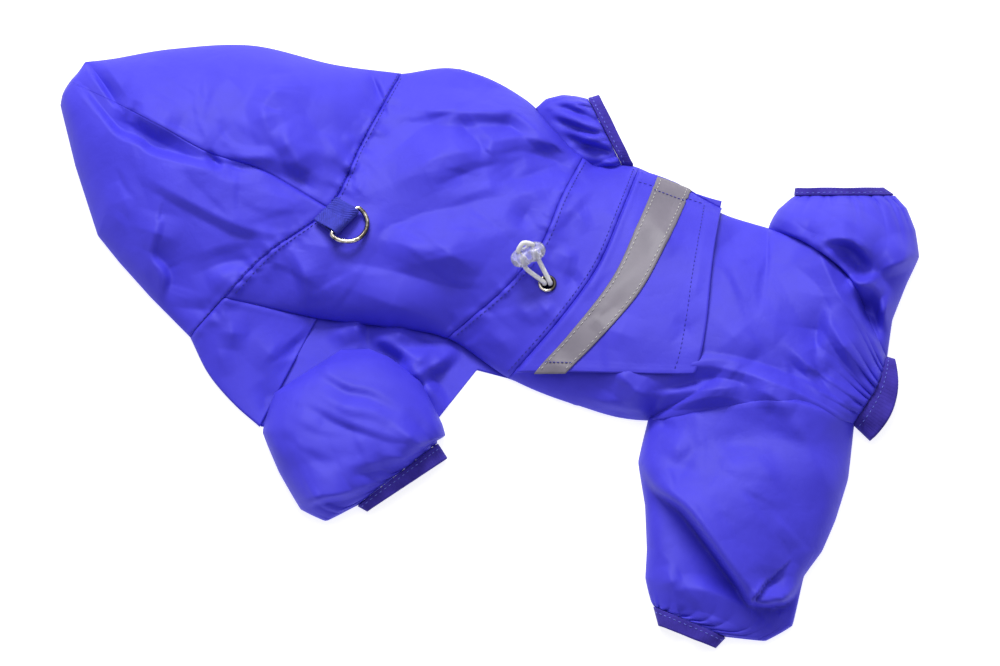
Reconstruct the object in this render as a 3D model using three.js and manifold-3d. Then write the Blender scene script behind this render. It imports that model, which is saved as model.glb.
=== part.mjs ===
// A four-legged dog raincoat in thin coated nylon, laid out on a table with its back up.
// It has a two-panel hood, a back panel, a drawcord casing at the waist, a rump panel, a chest
// panel and a belly panel, four legs with elastic cuffs, an elastic band round the tail opening,
// a flap with a reflective tape, a webbing loop with a D-ring, and a drawcord with a toggle.
// Millimetres, +Z up, the table at z = 0, the hood towards -X and the tail towards +X.
import * as THREE from 'three';
import { mergeVertices } from 'three/addons/utils/BufferGeometryUtils.js';
import Module from 'manifold-3d';

const wasm = await Module();
wasm.setup();

// Driving sizes
const CLOTH = 1.2; // wall of every cloth panel
const KNIT = 1.8; // wall of the elastic cuffs and tail band
const SEAM_GAP = 0.22; // each panel stops this far short of its seam line
const LAYER_GAP = 0.3; // air between cloth that lies on cloth
const FOLD_RADIUS = 2.4; // middle of the wall, where a tube turns over at its side
const WEBBING_WIDTH = 20;
const WEBBING = 1.2;
const RING_WIRE = 2.8;
const TAPE_WIDTH = 20;
const TAPE_SET_BACK = 12; // from the waist seam to the tape
const CORD_DIAMETER = 3;

// The lay-out is drawn as an eye sees it from 65 degrees above the table: u runs to the right,
// v runs up the drawing and z is the height over the table. LAYOUT_ORIGIN is where the middle
// of the coat's footprint falls on the drawing.
const EYE_ELEVATION = THREE.MathUtils.degToRad(65);
const LAYOUT_ORIGIN = { u: -5.78, y: -8.71 };

function onTable(u, v, z) {
  const y = v / Math.sin(EYE_ELEVATION) - z / Math.tan(EYE_ELEVATION);
  return new THREE.Vector3(u - LAYOUT_ORIGIN.u, y - LAYOUT_ORIGIN.y, z);
}

// Curves on the drawing

function catmullRom(values, at) {
  const last = values.length - 1;
  const i = Math.min(Math.max(Math.floor(at), 0), last - 1);
  const f = at - i;
  const b = values[i];
  const c = values[i + 1];
  const a = i > 0 ? values[i - 1] : 2 * b - c;
  const d = i < last - 1 ? values[i + 2] : 2 * c - b;
  return b + 0.5 * f * (c - a + f * (2 * a - 5 * b + 4 * c - d + f * (3 * (b - c) + d - a)));
}

function linear(values, at) {
  const i = Math.min(Math.max(Math.floor(at), 0), values.length - 2);
  return THREE.MathUtils.lerp(values[i], values[i + 1], at - i);
}

// A line across a piece through its points, with x from 0 at the first to 1 at the last.
function across(...points) {
  const us = points.map((p) => p[0]);
  const vs = points.map((p) => p[1]);
  return (x) => [catmullRom(us, x * (us.length - 1)), catmullRom(vs, x * (vs.length - 1))];
}

// A line from left to right that bows by so many millimetres in its middle.
function chord(left, right, bow = 0) {
  const du = right[0] - left[0];
  const dv = right[1] - left[1];
  const length = Math.hypot(du, dv);
  return (x) => {
    const lift = (bow * 4 * x * (1 - x)) / length;
    return [left[0] + du * x - dv * lift, left[1] + dv * x + du * lift];
  };
}

// How a side rises from its edge, y = 0, to the crown, y = 1. A sharp side stands up like a
// rounded fold; a soft one eases away from a seam.
function sideRise(y, sharpness) {
  const inside = THREE.MathUtils.clamp(y, 0, 1);
  const sharp = (1 - (1 - inside) ** 2.4) ** 0.7;
  const soft = Math.sin((inside * Math.PI) / 2);
  return THREE.MathUtils.lerp(soft, sharp, sharpness);
}

// Ridges and troughs: each row is a line on the drawing, the width of its slope to each side
// and its height, below zero for a trough. They fade out at both ends.
function relief(folds, u, v) {
  let sum = 0;
  for (const fold of folds) {
    const du = fold.to[0] - fold.from[0];
    const dv = fold.to[1] - fold.from[1];
    const along = ((u - fold.from[0]) * du + (v - fold.from[1]) * dv) / (du * du + dv * dv);
    if (along <= 0 || along >= 1) continue;
    const off = ((u - fold.from[0]) * dv - (v - fold.from[1]) * du) / Math.hypot(du, dv);
    sum += fold.height * Math.exp(-((off / fold.width) ** 2)) * Math.sin(Math.PI * along) ** 0.7;
  }
  return sum;
}

// Tables. Every point is a place on the drawing, in millimetres.

// The neck seam, from the far edge over the nape to the near edge.
const neckSeam = across([-60, 157], [-83, 115], [-103, 75], [-143, 45], [-186, -2]);
const CHEST_SEAM_ON_NECK = 0.88; // where the chest seam starts on it

// The top of the body: a row for each section, from its far edge through the spine to its near
// edge. farZ and nearZ are the edge heights; a low sharpness is a side that runs into a leg.
const ON_BELLY = CLOTH + LAYER_GAP + CLOTH / 2;
const BODY = [
  { at: 'neck seam',
    line: (x) => neckSeam(x < 0.5 ? x : 0.5 + (x - 0.5) * 2 * (CHEST_SEAM_ON_NECK - 0.5)),
    crown: 26, farZ: ON_BELLY, nearZ: 17, farSharp: 1, nearSharp: 0 },
  { at: 'shoulders', line: across([-25, 160], [-45, 116], [-65, 77], [-85, 47], [-109, 9]),
    crown: 32, farZ: ON_BELLY, nearZ: ON_BELLY, farSharp: 1, nearSharp: 1 },
  { at: 'back', line: across([13, 143], [-9, 107], [-29, 71], [-49, 35], [-70, 4]),
    crown: 36, farZ: ON_BELLY, nearZ: ON_BELLY, farSharp: 1, nearSharp: 1 },
  { at: 'front waist seam', line: across([50, 106], [37, 82], [24, 52], [3, 27], [-32, -3]),
    crown: 29, farZ: ON_BELLY, nearZ: ON_BELLY, farSharp: 1, nearSharp: 1 },
  { at: 'rear waist seam', line: across([84, 100], [73, 73], [58, 39], [34, 6], [5, -27]),
    crown: 28, farZ: ON_BELLY, nearZ: ON_BELLY, farSharp: 1, nearSharp: 1 },
  { at: 'loin', line: across([130, 82], [114, 44], [96, 11], [75, -16], [45, -43]),
    crown: 32, farZ: ON_BELLY, nearZ: ON_BELLY, farSharp: 1, nearSharp: 1 },
  { at: 'hips', line: across([162, 63], [159, 26], [147, -4], [125, -30], [89, -52]),
    crown: 35, farZ: 3, nearZ: 3, farSharp: 0.6, nearSharp: 0.6 },
  { at: 'haunches', line: across([203, 43], [200, 16], [193, -6], [181, -24], [163, -41]),
    crown: 31, farZ: 16, nearZ: 25, farSharp: 0, nearSharp: 0 },
  { at: 'tail seam', line: across([232, -15], [228, -26], [224, -35], [218, -44], [212, -54]),
    crown: 17, farZ: 3, nearZ: 3, farSharp: 1, nearSharp: 1 },
];
const BODY_ROW = { neck: 0, frontWaist: 3, rearWaist: 4, hips: 6, haunches: 7, tail: 8 };

// The two hood panels meet on the centre seam, half way along each line.
const HOOD = [
  { at: 'neck seam', line: neckSeam, crown: 26 },
  { at: 'behind the ears', crown: 34,
    line: across([-101, 162.5], [-109, 135], [-143, 98], [-171, 71], [-210, 22]) },
  { at: 'ears', crown: 36,
    line: across([-150, 174], [-159, 143], [-176, 109], [-201, 86], [-229, 43]) },
  { at: 'brow', crown: 30,
    line: across([-198, 172], [-201, 149], [-203, 124], [-225, 104], [-242, 59]) },
  { at: 'over the face', crown: 22,
    line: across([-234, 166], [-231, 153], [-229, 138], [-243, 122], [-257, 101]) },
  { at: 'front point', crown: 12,
    line: across([-248, 163], [-250, 158], [-253, 152], [-259, 145], [-264, 138]) },
];

// The chest panel shows from its seam with the back panel down to the near edge.
const CHEST = [
  { at: 'neck seam', onBack: 0, edge: [-186, -2] },
  { at: 'throat', onBack: 0.33, edge: [-175, -24] },
  { at: 'chest', onBack: 0.66, edge: [-160, -42] },
  { at: 'behind the leg', onBack: 0.98, edge: [-144, -56] },
];

// The belly panel lies flat on the table under the whole body.
const BELLY = [
  { at: 'neck seam', far: [-60, 157], near: [-186, -2] },
  { at: 'shoulders', far: [-25, 160], near: [-143, -56] },
  { at: 'front legs', far: [13, 143], near: [-90, -54] },
  { at: 'behind the front legs', far: [34, 122], near: [-37, -51] },
  { at: 'front waist seam', far: [50, 106], near: [-14, -22] },
  { at: 'rear waist seam', far: [84, 100], near: [5, -27] },
  { at: 'loin', far: [130, 82], near: [45, -43] },
  { at: 'hips', far: [160, 61], near: [89, -49] },
  { at: 'haunches', far: [200, 39], near: [163, -37] },
  { at: 'tail seam', far: [229, -16], near: [211, -51] },
];

// Each leg is a flattened tube: a row for each section from the body to its cuff seam, with
// its height, the floor that it lies on and how far the section bows.
const bodyEdge = (side, clear) => (x) => {
  const s = BODY_ROW.hips + 2 * x;
  const [u, v] = bodyPlan(s, side);
  const inner = bodyPlan(s, side === 0 ? 0.02 : 0.98);
  const length = Math.hypot(u - inner[0], v - inner[1]);
  return [u + ((u - inner[0]) / length) * clear, v + ((v - inner[1]) / length) * clear];
};
const ON_CHEST = 2 * (CLOTH + LAYER_GAP);
const LEGS = {
  front_leg_near: { pleats: 9, rows: [
    { at: 'armhole', left: [-95, -10], right: [-79, -9.5], rise: 9, floor: ON_CHEST },
    { at: 'sleeve head', left: [-111, -20], right: [-66, -15], rise: 17, floor: ON_CHEST },
    { at: 'shoulder', left: [-135, -36], right: [-48, -29], rise: 25, floor: ON_CHEST },
    { at: 'elbow', left: [-142, -59], right: [-35, -54], rise: 33, floor: ON_CHEST },
    { at: 'forearm', left: [-132, -83], right: [-33, -61], rise: 31, floor: 0 },
    { at: 'puff', left: [-119, -105], right: [-36, -63], rise: 24, floor: 0 },
    { at: 'gathers', left: [-104, -112], right: [-38, -63.8], rise: 16, floor: 0 },
    { at: 'cuff seam', left: [-85, -102.4], right: [-38, -66], rise: 11, floor: 0 }] },
  front_leg_far: { pleats: 7, rows: [
    { at: 'armhole', left: [24, 138], right: [67, 104.4], rise: 13, floor: 0, bow: -7 },
    { at: 'elbow', left: [28, 141.5], right: [70, 104.2], rise: 19, floor: 0, bow: -4.5 },
    { at: 'forearm', left: [38, 144], right: [73, 104], rise: 21, floor: 0, bow: -2 },
    { at: 'gathers', left: [47, 143], right: [75, 104.1], rise: 18, floor: 0 },
    { at: 'cuff seam', left: [53, 141.5], right: [76.8, 104.3], rise: 12, floor: 0 }] },
  rear_leg_near: { pleats: 9, rows: [
    { at: 'leg seam', line: bodyEdge(1, 1.4), rise: 25, floor: 0 },
    { at: 'thigh', left: [83, -77], right: [208, -87], rise: 31, floor: 0 },
    { at: 'knee', left: [87, -103], right: [200, -112], rise: 33, floor: 0 },
    { at: 'shin', left: [88, -129], right: [192, -130], rise: 31, floor: 0 },
    { at: 'hock', left: [87, -146], right: [181, -145], rise: 27, floor: 0 },
    { at: 'puff', left: [89, -155], right: [174, -174], rise: 21, floor: 0 },
    { at: 'gathers', left: [90.5, -160], right: [158, -183], rise: 15, floor: 0 },
    { at: 'cuff seam', left: [92, -162.5], right: [134, -180.5], rise: 11, floor: 0 }] },
  rear_leg_far: { pleats: 9, rows: [
    { at: 'leg seam', line: bodyEdge(0, 1.4), rise: 16, floor: 0 },
    { at: 'thigh', left: [163, 66], right: [235.5, 8], rise: 23, floor: 0, bow: 6 },
    { at: 'knee', left: [165, 70], right: [244, 29], rise: 28, floor: 0, bow: 3 },
    { at: 'shin', left: [168, 74.5], right: [252, 46], rise: 28, floor: 0 },
    { at: 'hock', left: [172, 78], right: [250, 62], rise: 24, floor: 0 },
    { at: 'puff', left: [175.5, 81], right: [245, 75], rise: 18.2, floor: 0 },
    { at: 'cuff seam', left: [178, 82.6], right: [238, 82.8], rise: 12, floor: 0 }] },
};

// Each cuff, and the tail band, is a short flattened tube of elastic from its seam to its edge.
const CUFFS = {
  front_cuff_near: { seam: { left: [-84.7, -102.8], right: [-37.7, -66.4], rise: 12 },
    edge: { left: [-79, -106], right: [-32, -75], rise: 11 } },
  front_cuff_far: { seam: { left: [53.5, 141.7], right: [77.3, 104.5], rise: 12 },
    edge: { left: [60, 143.6], right: [84, 103.6], rise: 11 } },
  rear_cuff_near: { seam: { left: [92.1, -163], right: [133.8, -181], rise: 12 },
    edge: { left: [95, -174], right: [128, -187], rise: 11 } },
  rear_cuff_far: { seam: { left: [178.1, 83.1], right: [237, 83.3], rise: 12 },
    edge: { left: [178.6, 87.4], right: [231, 87.4], rise: 11 } },
  tail_band: { seam: { left: [232.6, -15.4], right: [213.1, -55.3], rise: 14, bow: 1.6 },
    edge: { left: [239, -15], right: [222, -64], rise: 13, bow: 6 } },
};

// The largest folds.
const BODY_FOLDS = [
  { at: 'behind the neck', from: [-95, 70], to: [25, 83], width: 7, height: -3 },
  { at: 'across the shoulders', from: [-62, 118], to: [-10, 140], width: 7, height: -4 },
  { at: 'shoulder ridge', from: [-70, 95], to: [28, 118], width: 7, height: 4 },
  { at: 'shoulder trough', from: [-12, 114], to: [44, 109], width: 5, height: -4 },
  { at: 'blade ridge', from: [-88, 60], to: [-8, 96], width: 8, height: 3 },
  { at: 'long back trough', from: [-100, 52], to: [-6, 26], width: 9, height: -5 },
  { at: 'lower back ridge', from: [-120, 40], to: [-50, 12], width: 7, height: 4 },
  { at: 'back roll', from: [-55, 60], to: [10, 32], width: 9, height: 4 },
  { at: 'loin trough', from: [58, -18], to: [118, -38], width: 6, height: -5 },
  { at: 'hip ridge', from: [62, -34], to: [168, -40], width: 6, height: 3 },
  { at: 'rump trough', from: [136, 58], to: [172, -28], width: 9, height: -4 },
  { at: 'rump ridge', from: [168, 58], to: [196, -36], width: 8, height: 4 },
  { at: 'tail trough', from: [186, 40], to: [224, -36], width: 6, height: -5 },
];
const HOOD_FOLDS = [
  { at: 'beside the centre seam', from: [-232, 130], to: [-118, 82], width: 9, height: -6 },
  { at: 'far panel roll', from: [-200, 158], to: [-96, 96], width: 11, height: 4 },
  { at: 'near panel roll', from: [-246, 112], to: [-128, 62], width: 10, height: 4 },
  { at: 'near panel trough', from: [-236, 96], to: [-150, 42], width: 8, height: -4 },
  { at: 'far trough', from: [-140, 148], to: [-88, 88], width: 7, height: -4 },
  { at: 'edge pleat', from: [-222, 14], to: [-186, 48], width: 5, height: -4 },
];
const LEG_FOLDS = [
  { at: 'near front, upper', from: [-104, -28], to: [-46, -66], width: 5, height: -3 },
  { at: 'near front, lower', from: [-112, -62], to: [-50, -84], width: 5, height: -4 },
  { at: 'near front, edge', from: [-112, -104], to: [-72, -92], width: 4, height: -4 },
  { at: 'far front', from: [38, 138], to: [62, 122], width: 4, height: -4 },
  { at: 'near rear, long', from: [84, -88], to: [160, -168], width: 9, height: -5 },
  { at: 'near rear, ridge', from: [96, -74], to: [172, -128], width: 10, height: 4 },
  { at: 'near rear, top', from: [96, -60], to: [170, -52], width: 5, height: -3 },
  { at: 'far rear, hollow', from: [196, 40], to: [232, 22], width: 8, height: -6 },
  { at: 'far rear, long', from: [184, 62], to: [246, 44], width: 7, height: -4 },
];

// Surfaces

function bodyPlan(s, x) {
  const points = BODY.map((row) => row.line(x));
  return [catmullRom(points.map((p) => p[0]), s), catmullRom(points.map((p) => p[1]), s)];
}

function bodyColumn(name, s) {
  return linear(BODY.map((row) => row[name]), s);
}

// Where the rear legs join, the edge of the body follows the top of the leg.
function bodyEdgeZ(name, s) {
  const alongLeg = (s - BODY_ROW.hips) / (BODY_ROW.tail - BODY_ROW.hips);
  if (alongLeg <= 0) return bodyColumn(name, s);
  const [low, high] = [BODY[BODY_ROW.hips][name], BODY[BODY_ROW.haunches][name]];
  return low + (high - low) * tubeTop(2 * alongLeg - 1);
}

function bodyPoint(s, x) {
  const [u, v] = bodyPlan(s, x);
  const crown = catmullRom(BODY.map((row) => row.crown), s);
  const far = x < 0.5;
  const edge = bodyEdgeZ(far ? 'farZ' : 'nearZ', s);
  const y = far ? 2 * x : 2 - 2 * x;
  const z = edge + (crown - edge) * sideRise(y, bodyColumn(far ? 'farSharp' : 'nearSharp', s));
  const fade = Math.min(1, 4 * Math.min(x, 1 - x));
  return { u, v, z: z + fade * relief(BODY_FOLDS, u, v) };
}

// A hood panel runs from the centre seam over the crown to its edge, where it turns under and
// comes back along the table. w is the distance from the centre seam, past the edge and back.
const HOOD_RETURN = 42;
function hoodRing(s, far, steps) {
  const plan = (x) => {
    const points = HOOD.map((row) => row.line(far ? 0.5 - x / 2 : 0.5 + x / 2));
    return [catmullRom(points.map((p) => p[0]), s), catmullRom(points.map((p) => p[1]), s)];
  };
  const crown = catmullRom(HOOD.map((row) => row.crown), s);
  const [start, end] = [plan(0), plan(1)];
  const width = Math.hypot(end[0] - start[0], end[1] - start[1]);
  const side = FOLD_RADIUS + CLOTH / 2;
  const ring = [];
  for (let i = 0; i <= steps; i++) {
    const x = Math.sin(((i / steps) * Math.PI) / 2);
    const [u, v] = plan(x);
    const z = side + (crown - side) * sideRise(1 - x, 1);
    ring.push({ u, v, z: z + (1 - x ** 4) * relief(HOOD_FOLDS, u, v) });
  }
  for (const turn of [30, 60, 90]) {
    const angle = THREE.MathUtils.degToRad(turn);
    const [u, v] = plan(1 - (FOLD_RADIUS * (1 - Math.cos(angle))) / width);
    ring.push({ u, v, z: side - FOLD_RADIUS * Math.sin(angle) });
  }
  const back = Math.min(HOOD_RETURN, width * 0.6);
  for (const part of [0.5, 1]) {
    const [u, v] = plan(1 - (FOLD_RADIUS + part * back) / width);
    ring.push({ u, v, z: CLOTH / 2 });
  }
  return { points: ring, chord: [end[0] - start[0], end[1] - start[1]] };
}

function tubeTop(x) {
  return Math.max(0, 1 - x * x) ** 0.4;
}

// The middle of a flattened tube's wall, all round: over the top from left to right, round the
// right side, back along the floor and round the left side.
function tubeRing(section, wall, steps, pleats, pleatHeight, folds) {
  const { line, rise, floor } = section;
  const [left, right] = [line(0), line(1)];
  const half = Math.hypot(right[0] - left[0], right[1] - left[1]) / 2;
  const bed = floor + wall / 2;
  const radius = FOLD_RADIUS;
  const ring = [];
  for (let i = 0; i <= steps; i++) {
    const angle = Math.PI * (i / steps - 0.5);
    const x = Math.sin(angle);
    const [u, v] = line((x + 1) / 2);
    const top = bed + radius + (rise - bed - radius) * tubeTop(x);
    const pleat = -pleatHeight * Math.cos((2 * Math.PI * pleats * i) / steps) * (1 - x ** 8);
    ring.push({ u, v, z: top + pleat + (1 - x ** 4) * relief(folds, u, v) });
  }
  const put = (w, z) => {
    const [u, v] = line((w / half + 1) / 2);
    ring.push({ u, v, z });
  };
  const corner = [30, 60].map((turn) => THREE.MathUtils.degToRad(turn));
  for (const angle of corner) {
    put(half - radius * (1 - Math.cos(angle)), bed + radius * (1 - Math.sin(angle)));
  }
  for (const part of [1, 0.5, 0, -0.5, -1]) put(part * (half - radius), bed);
  for (const angle of corner.reverse()) {
    put(radius * (1 - Math.cos(angle)) - half, bed + radius * (1 - Math.sin(angle)));
  }
  return { points: ring, chord: [right[0] - left[0], right[1] - left[1]] };
}

// Walls

// Rows of points through the middle of a wall become a closed solid: each point moves half the
// thickness to each side, square to its row.
function wallFromRows(rows, thickness, closed) {
  const outer = [];
  const inner = [];
  for (const { points, chord: span } of rows) {
    const along = new THREE.Vector3(-span[1], span[0], 0).normalize();
    const n = points.length;
    points.forEach((p, i) => {
      const before = points[closed ? (i + n - 1) % n : Math.max(i - 1, 0)];
      const after = points[closed ? (i + 1) % n : Math.min(i + 1, n - 1)];
      const tangent = new THREE.Vector3(after.u - before.u, after.v - before.v, after.z - before.z);
      const normal = tangent.cross(along).normalize().multiplyScalar(thickness / 2);
      outer.push(onTable(p.u + normal.x, p.v + normal.y, p.z + normal.z));
      inner.push(onTable(p.u - normal.x, p.v - normal.y, p.z - normal.z));
    });
  }
  const count = rows[0].points.length;
  const cells = closed ? count : count - 1;
  const index = [];
  const quad = (a, b, c, d) => index.push(a, b, c, a, c, d);
  const at = (side, row, i) => side * outer.length + row * count + (i % count);
  for (let row = 0; row < rows.length - 1; row++) {
    for (let i = 0; i < cells; i++) {
      quad(at(0, row, i), at(0, row, i + 1), at(0, row + 1, i + 1), at(0, row + 1, i));
      quad(at(1, row, i), at(1, row + 1, i), at(1, row + 1, i + 1), at(1, row, i + 1));
    }
    if (!closed) {
      quad(at(0, row, 0), at(0, row + 1, 0), at(1, row + 1, 0), at(1, row, 0));
      const end = count - 1;
      quad(at(0, row, end), at(1, row, end), at(1, row + 1, end), at(0, row + 1, end));
    }
  }
  const last = rows.length - 1;
  for (let i = 0; i < cells; i++) {
    quad(at(0, 0, i), at(1, 0, i), at(1, 0, i + 1), at(0, 0, i + 1));
    quad(at(0, last, i), at(0, last, i + 1), at(1, last, i + 1), at(1, last, i));
  }
  return closedGeometry([...outer, ...inner], index);
}

// A closed geometry with its faces pointing out.
function closedGeometry(points, index) {
  let volume = 0;
  for (let i = 0; i < index.length; i += 3) {
    const [a, b, c] = [points[index[i]], points[index[i + 1]], points[index[i + 2]]];
    volume += a.dot(b.clone().cross(c));
  }
  if (volume < 0) {
    for (let i = 0; i < index.length; i += 3) {
      [index[i + 1], index[i + 2]] = [index[i + 2], index[i + 1]];
    }
  }
  const geometry = new THREE.BufferGeometry().setFromPoints(points);
  geometry.setIndex(index);
  geometry.computeVertexNormals();
  return geometry;
}

// Draws the ends of a grid back from their seam lines. point(s, x) is the surface.
function sheetRows(point, [s0, s1], [x0, x1], sSteps, xSteps, gap = {}) {
  const rows = [];
  const slack = { s0: SEAM_GAP, s1: SEAM_GAP, x0: 0, x1: 0, ...gap };
  const tiny = 0.01;
  for (let i = 0; i <= sSteps; i++) {
    const s = s0 + ((s1 - s0) * i) / sSteps;
    const points = [];
    for (let j = 0; j <= xSteps; j++) {
      const x = x0 + ((x1 - x0) * j) / xSteps;
      let p = point(s, x);
      const back = i === 0 ? slack.s0 : i === sSteps ? slack.s1 : 0;
      if (back) p = drawBack(p, point(s + (i === 0 ? tiny : -tiny), x), back);
      const aside = j === 0 ? slack.x0 : j === xSteps ? slack.x1 : 0;
      if (aside) p = drawBack(p, point(s, x + (j === 0 ? tiny : -tiny)), aside);
      points.push(p);
    }
    const [a, b] = [point(s, x0), point(s, x1)];
    rows.push({ points, chord: [b.u - a.u, b.v - a.v] });
  }
  return rows;
}

function drawBack(p, towards, distance) {
  const length = Math.hypot(towards.u - p.u, towards.v - p.v) || 1;
  const share = distance / length;
  return { u: p.u + (towards.u - p.u) * share, v: p.v + (towards.v - p.v) * share, z: p.z };
}

// Booleans

function toSolid(geometry) {
  const bare = geometry.clone();
  bare.deleteAttribute('normal');
  bare.deleteAttribute('uv');
  const merged = mergeVertices(bare, 1e-4);
  const vertProperties = new Float32Array(merged.attributes.position.array);
  const triVerts = new Uint32Array(merged.index.array);
  return new wasm.Manifold(new wasm.Mesh({ numProp: 3, vertProperties, triVerts }));
}

function toGeometry(solid) {
  const mesh = solid.getMesh();
  const geometry = new THREE.BufferGeometry();
  geometry.setAttribute('position', new THREE.BufferAttribute(mesh.vertProperties, 3));
  geometry.setIndex(new THREE.BufferAttribute(mesh.triVerts, 1));
  geometry.computeVertexNormals();
  return geometry;
}

// Materials and meshes

const nylon = new THREE.MeshStandardMaterial({ color: 0x4a44e0, roughness: 0.55, metalness: 0 });
const knit = new THREE.MeshStandardMaterial({ color: 0x30249a, roughness: 0.9, metalness: 0 });
const webbing = new THREE.MeshStandardMaterial({ color: 0x2c36a8, roughness: 0.85, metalness: 0 });
const tape = new THREE.MeshStandardMaterial({ color: 0x96919c, roughness: 0.5, metalness: 0 });
const steel = new THREE.MeshStandardMaterial({ color: 0xc9bfae, roughness: 0.2, metalness: 1 });
const clearPlastic = new THREE.MeshStandardMaterial({ color: 0xd8d8ec, roughness: 0.15,
  metalness: 0, transparent: true, opacity: 0.5 });
const cordWhite = new THREE.MeshStandardMaterial({ color: 0xe6e4e6, roughness: 0.8, metalness: 0 });

const coat = new THREE.Group();
function add(name, geometry, material) {
  const mesh = new THREE.Mesh(geometry, material);
  mesh.name = name;
  coat.add(mesh);
  return mesh;
}

// Body panels

function addBodyPanels() {
  const { neck, frontWaist, rearWaist, tail } = BODY_ROW;
  const waistCasing = wallFromRows(
    sheetRows(bodyPoint, [frontWaist, rearWaist], [0, 1], 4, 16), CLOTH, false);
  add('back_panel', wallFromRows(
    sheetRows(bodyPoint, [neck, frontWaist], [0, 1], 12, 16), CLOTH, false), nylon);
  add('waist_casing', toGeometry(toSolid(waistCasing).subtract(eyeletDrill())), nylon);
  add('rump_panel', wallFromRows(
    sheetRows(bodyPoint, [rearWaist, tail], [0, 1], 15, 16), CLOTH, false), nylon);
}

function chestPoint(s, x) {
  const top = (name) => catmullRom(CHEST.map((row) => bodyPoint(row.onBack, 1)[name]), s);
  const edge = (i) => catmullRom(CHEST.map((row) => row.edge[i]), s);
  const [u0, v0, z0] = [top('u'), top('v'), top('z')];
  return {
    u: THREE.MathUtils.lerp(u0, edge(0), x),
    v: THREE.MathUtils.lerp(v0, edge(1), x),
    z: ON_BELLY + (z0 - ON_BELLY) * sideRise(1 - x, 0.7),
  };
}

function bellyPoint(s, x) {
  const side = (name, i) => catmullRom(BELLY.map((row) => row[name][i]), Math.max(s, 1));
  const onNeck = neckSeam(x);
  const share = Math.max(0, 1 - s);
  const [u, v] = [0, 1].map((i) => {
    const straight = THREE.MathUtils.lerp(side('far', i), side('near', i), x);
    return THREE.MathUtils.lerp(straight, onNeck[i], share);
  });
  return { u, v, z: CLOTH / 2 };
}

function addUnderside() {
  const lastChest = CHEST.length - 1;
  add('chest_panel', wallFromRows(
    sheetRows(chestPoint, [0, lastChest], [0, 1], 6, 6, { s0: 0.5, x0: 0.8 }), CLOTH, false), nylon);
  const lastBelly = BELLY.length - 1;
  add('belly_panel', wallFromRows(
    sheetRows(bellyPoint, [0, lastBelly], [0, 1], 18, 6, { s0: 1 }), CLOTH, false), nylon);
}

function addHood() {
  const stations = 11;
  for (const [name, far] of [['hood_panel_far', true], ['hood_panel_near', false]]) {
    const rows = [];
    for (let i = 0; i <= stations; i++) {
      const s = (HOOD.length - 1) * (i / stations);
      const row = hoodRing(s, far, 12);
      if (i === 0) {
        const next = hoodRing(0.01, far, 12);
        row.points = row.points.map((p, j) => drawBack(p, next.points[j], SEAM_GAP));
      }
      row.points[0] = drawBack(row.points[0], row.points[1], 0.35);
      rows.push(row);
    }
    add(name, wallFromRows(rows, CLOTH, false), nylon);
  }
}

// Legs, cuffs and tail band

function sectionLine(row) {
  return row.line ?? chord(row.left, row.right, row.bow);
}

function addLegs() {
  for (const [name, { pleats, rows: table }] of Object.entries(LEGS)) {
    const lines = table.map(sectionLine);
    const last = table.length - 1;
    const stations = Math.round(1.2 * last) + 2;
    const rows = [];
    for (let i = 0; i <= stations; i++) {
      const s = last * (1 - (1 - i / stations) ** 1.25);
      const line = (x) => [0, 1].map((axis) => catmullRom(lines.map((l) => l(x)[axis]), s));
      const nearCuff = Math.max(0, 1 - (last - s) / 1.4);
      rows.push(tubeRing({
        line,
        rise: catmullRom(table.map((row) => row.rise), s),
        floor: linear(table.map((row) => row.floor), s),
      }, CLOTH, 3 * pleats, pleats, 1.1 * nearCuff, LEG_FOLDS));
    }
    add(name, wallFromRows(rows, CLOTH, true), nylon);
  }
}

function addCuffs() {
  for (const [name, { seam, edge }] of Object.entries(CUFFS)) {
    const rows = [0, 0.5, 1].map((part) => {
      const [a, b] = [sectionLine(seam), sectionLine(edge)];
      const line = (x) => [0, 1].map((axis) => THREE.MathUtils.lerp(a(x)[axis], b(x)[axis], part));
      return tubeRing({ line, rise: THREE.MathUtils.lerp(seam.rise, edge.rise, part), floor: 0 },
        KNIT, 12, 0, 0, []);
    });
    add(name, wallFromRows(rows, KNIT, true), knit);
  }
}

// The flap and the tape are the rump panel's own points, moved out.

function movedOut(point, distance) {
  return (a, b) => {
    const step = 0.02;
    const p = point(a, b);
    const q = point(a, b + step);
    const r = point(a, b - step);
    const along = point(a + step, b);
    const across1 = new THREE.Vector3(q.u - r.u, q.v - r.v, q.z - r.z);
    const along1 = new THREE.Vector3(along.u - p.u, along.v - p.v, along.z - p.z);
    const normal = across1.cross(along1).normalize();
    if (normal.z < 0) normal.negate();
    const out = typeof distance === 'function' ? distance(a) : distance;
    return { u: p.u + normal.x * out, v: p.v + normal.y * out, z: p.z + normal.z * out };
  };
}

// a runs from the waist seam to the flap's free edge, b from its far side to its near side.
const FLAP = { farLength: 0.97, nearLength: 1.72, farX: 0.03, nearXAtSeam: 0.95, nearXAtEdge: 0.7 };
function underFlap(a, b) {
  const s = BODY_ROW.rearWaist + 0.02 + a * THREE.MathUtils.lerp(FLAP.farLength, FLAP.nearLength, b);
  const nearX = THREE.MathUtils.lerp(FLAP.nearXAtSeam, FLAP.nearXAtEdge, a);
  return bodyPoint(s, THREE.MathUtils.lerp(FLAP.farX, nearX, b));
}
const flapLift = (a) => CLOTH + LAYER_GAP + 0.4 + 1.4 * a;
const flapPoint = movedOut(underFlap, flapLift);

function tapePoint(a, b) {
  const [p, q] = [flapPoint(0, b), flapPoint(1, b)];
  const width = Math.hypot(q.u - p.u, q.v - p.v);
  return flapPoint((TAPE_SET_BACK + a * TAPE_WIDTH) / width, b);
}

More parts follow.
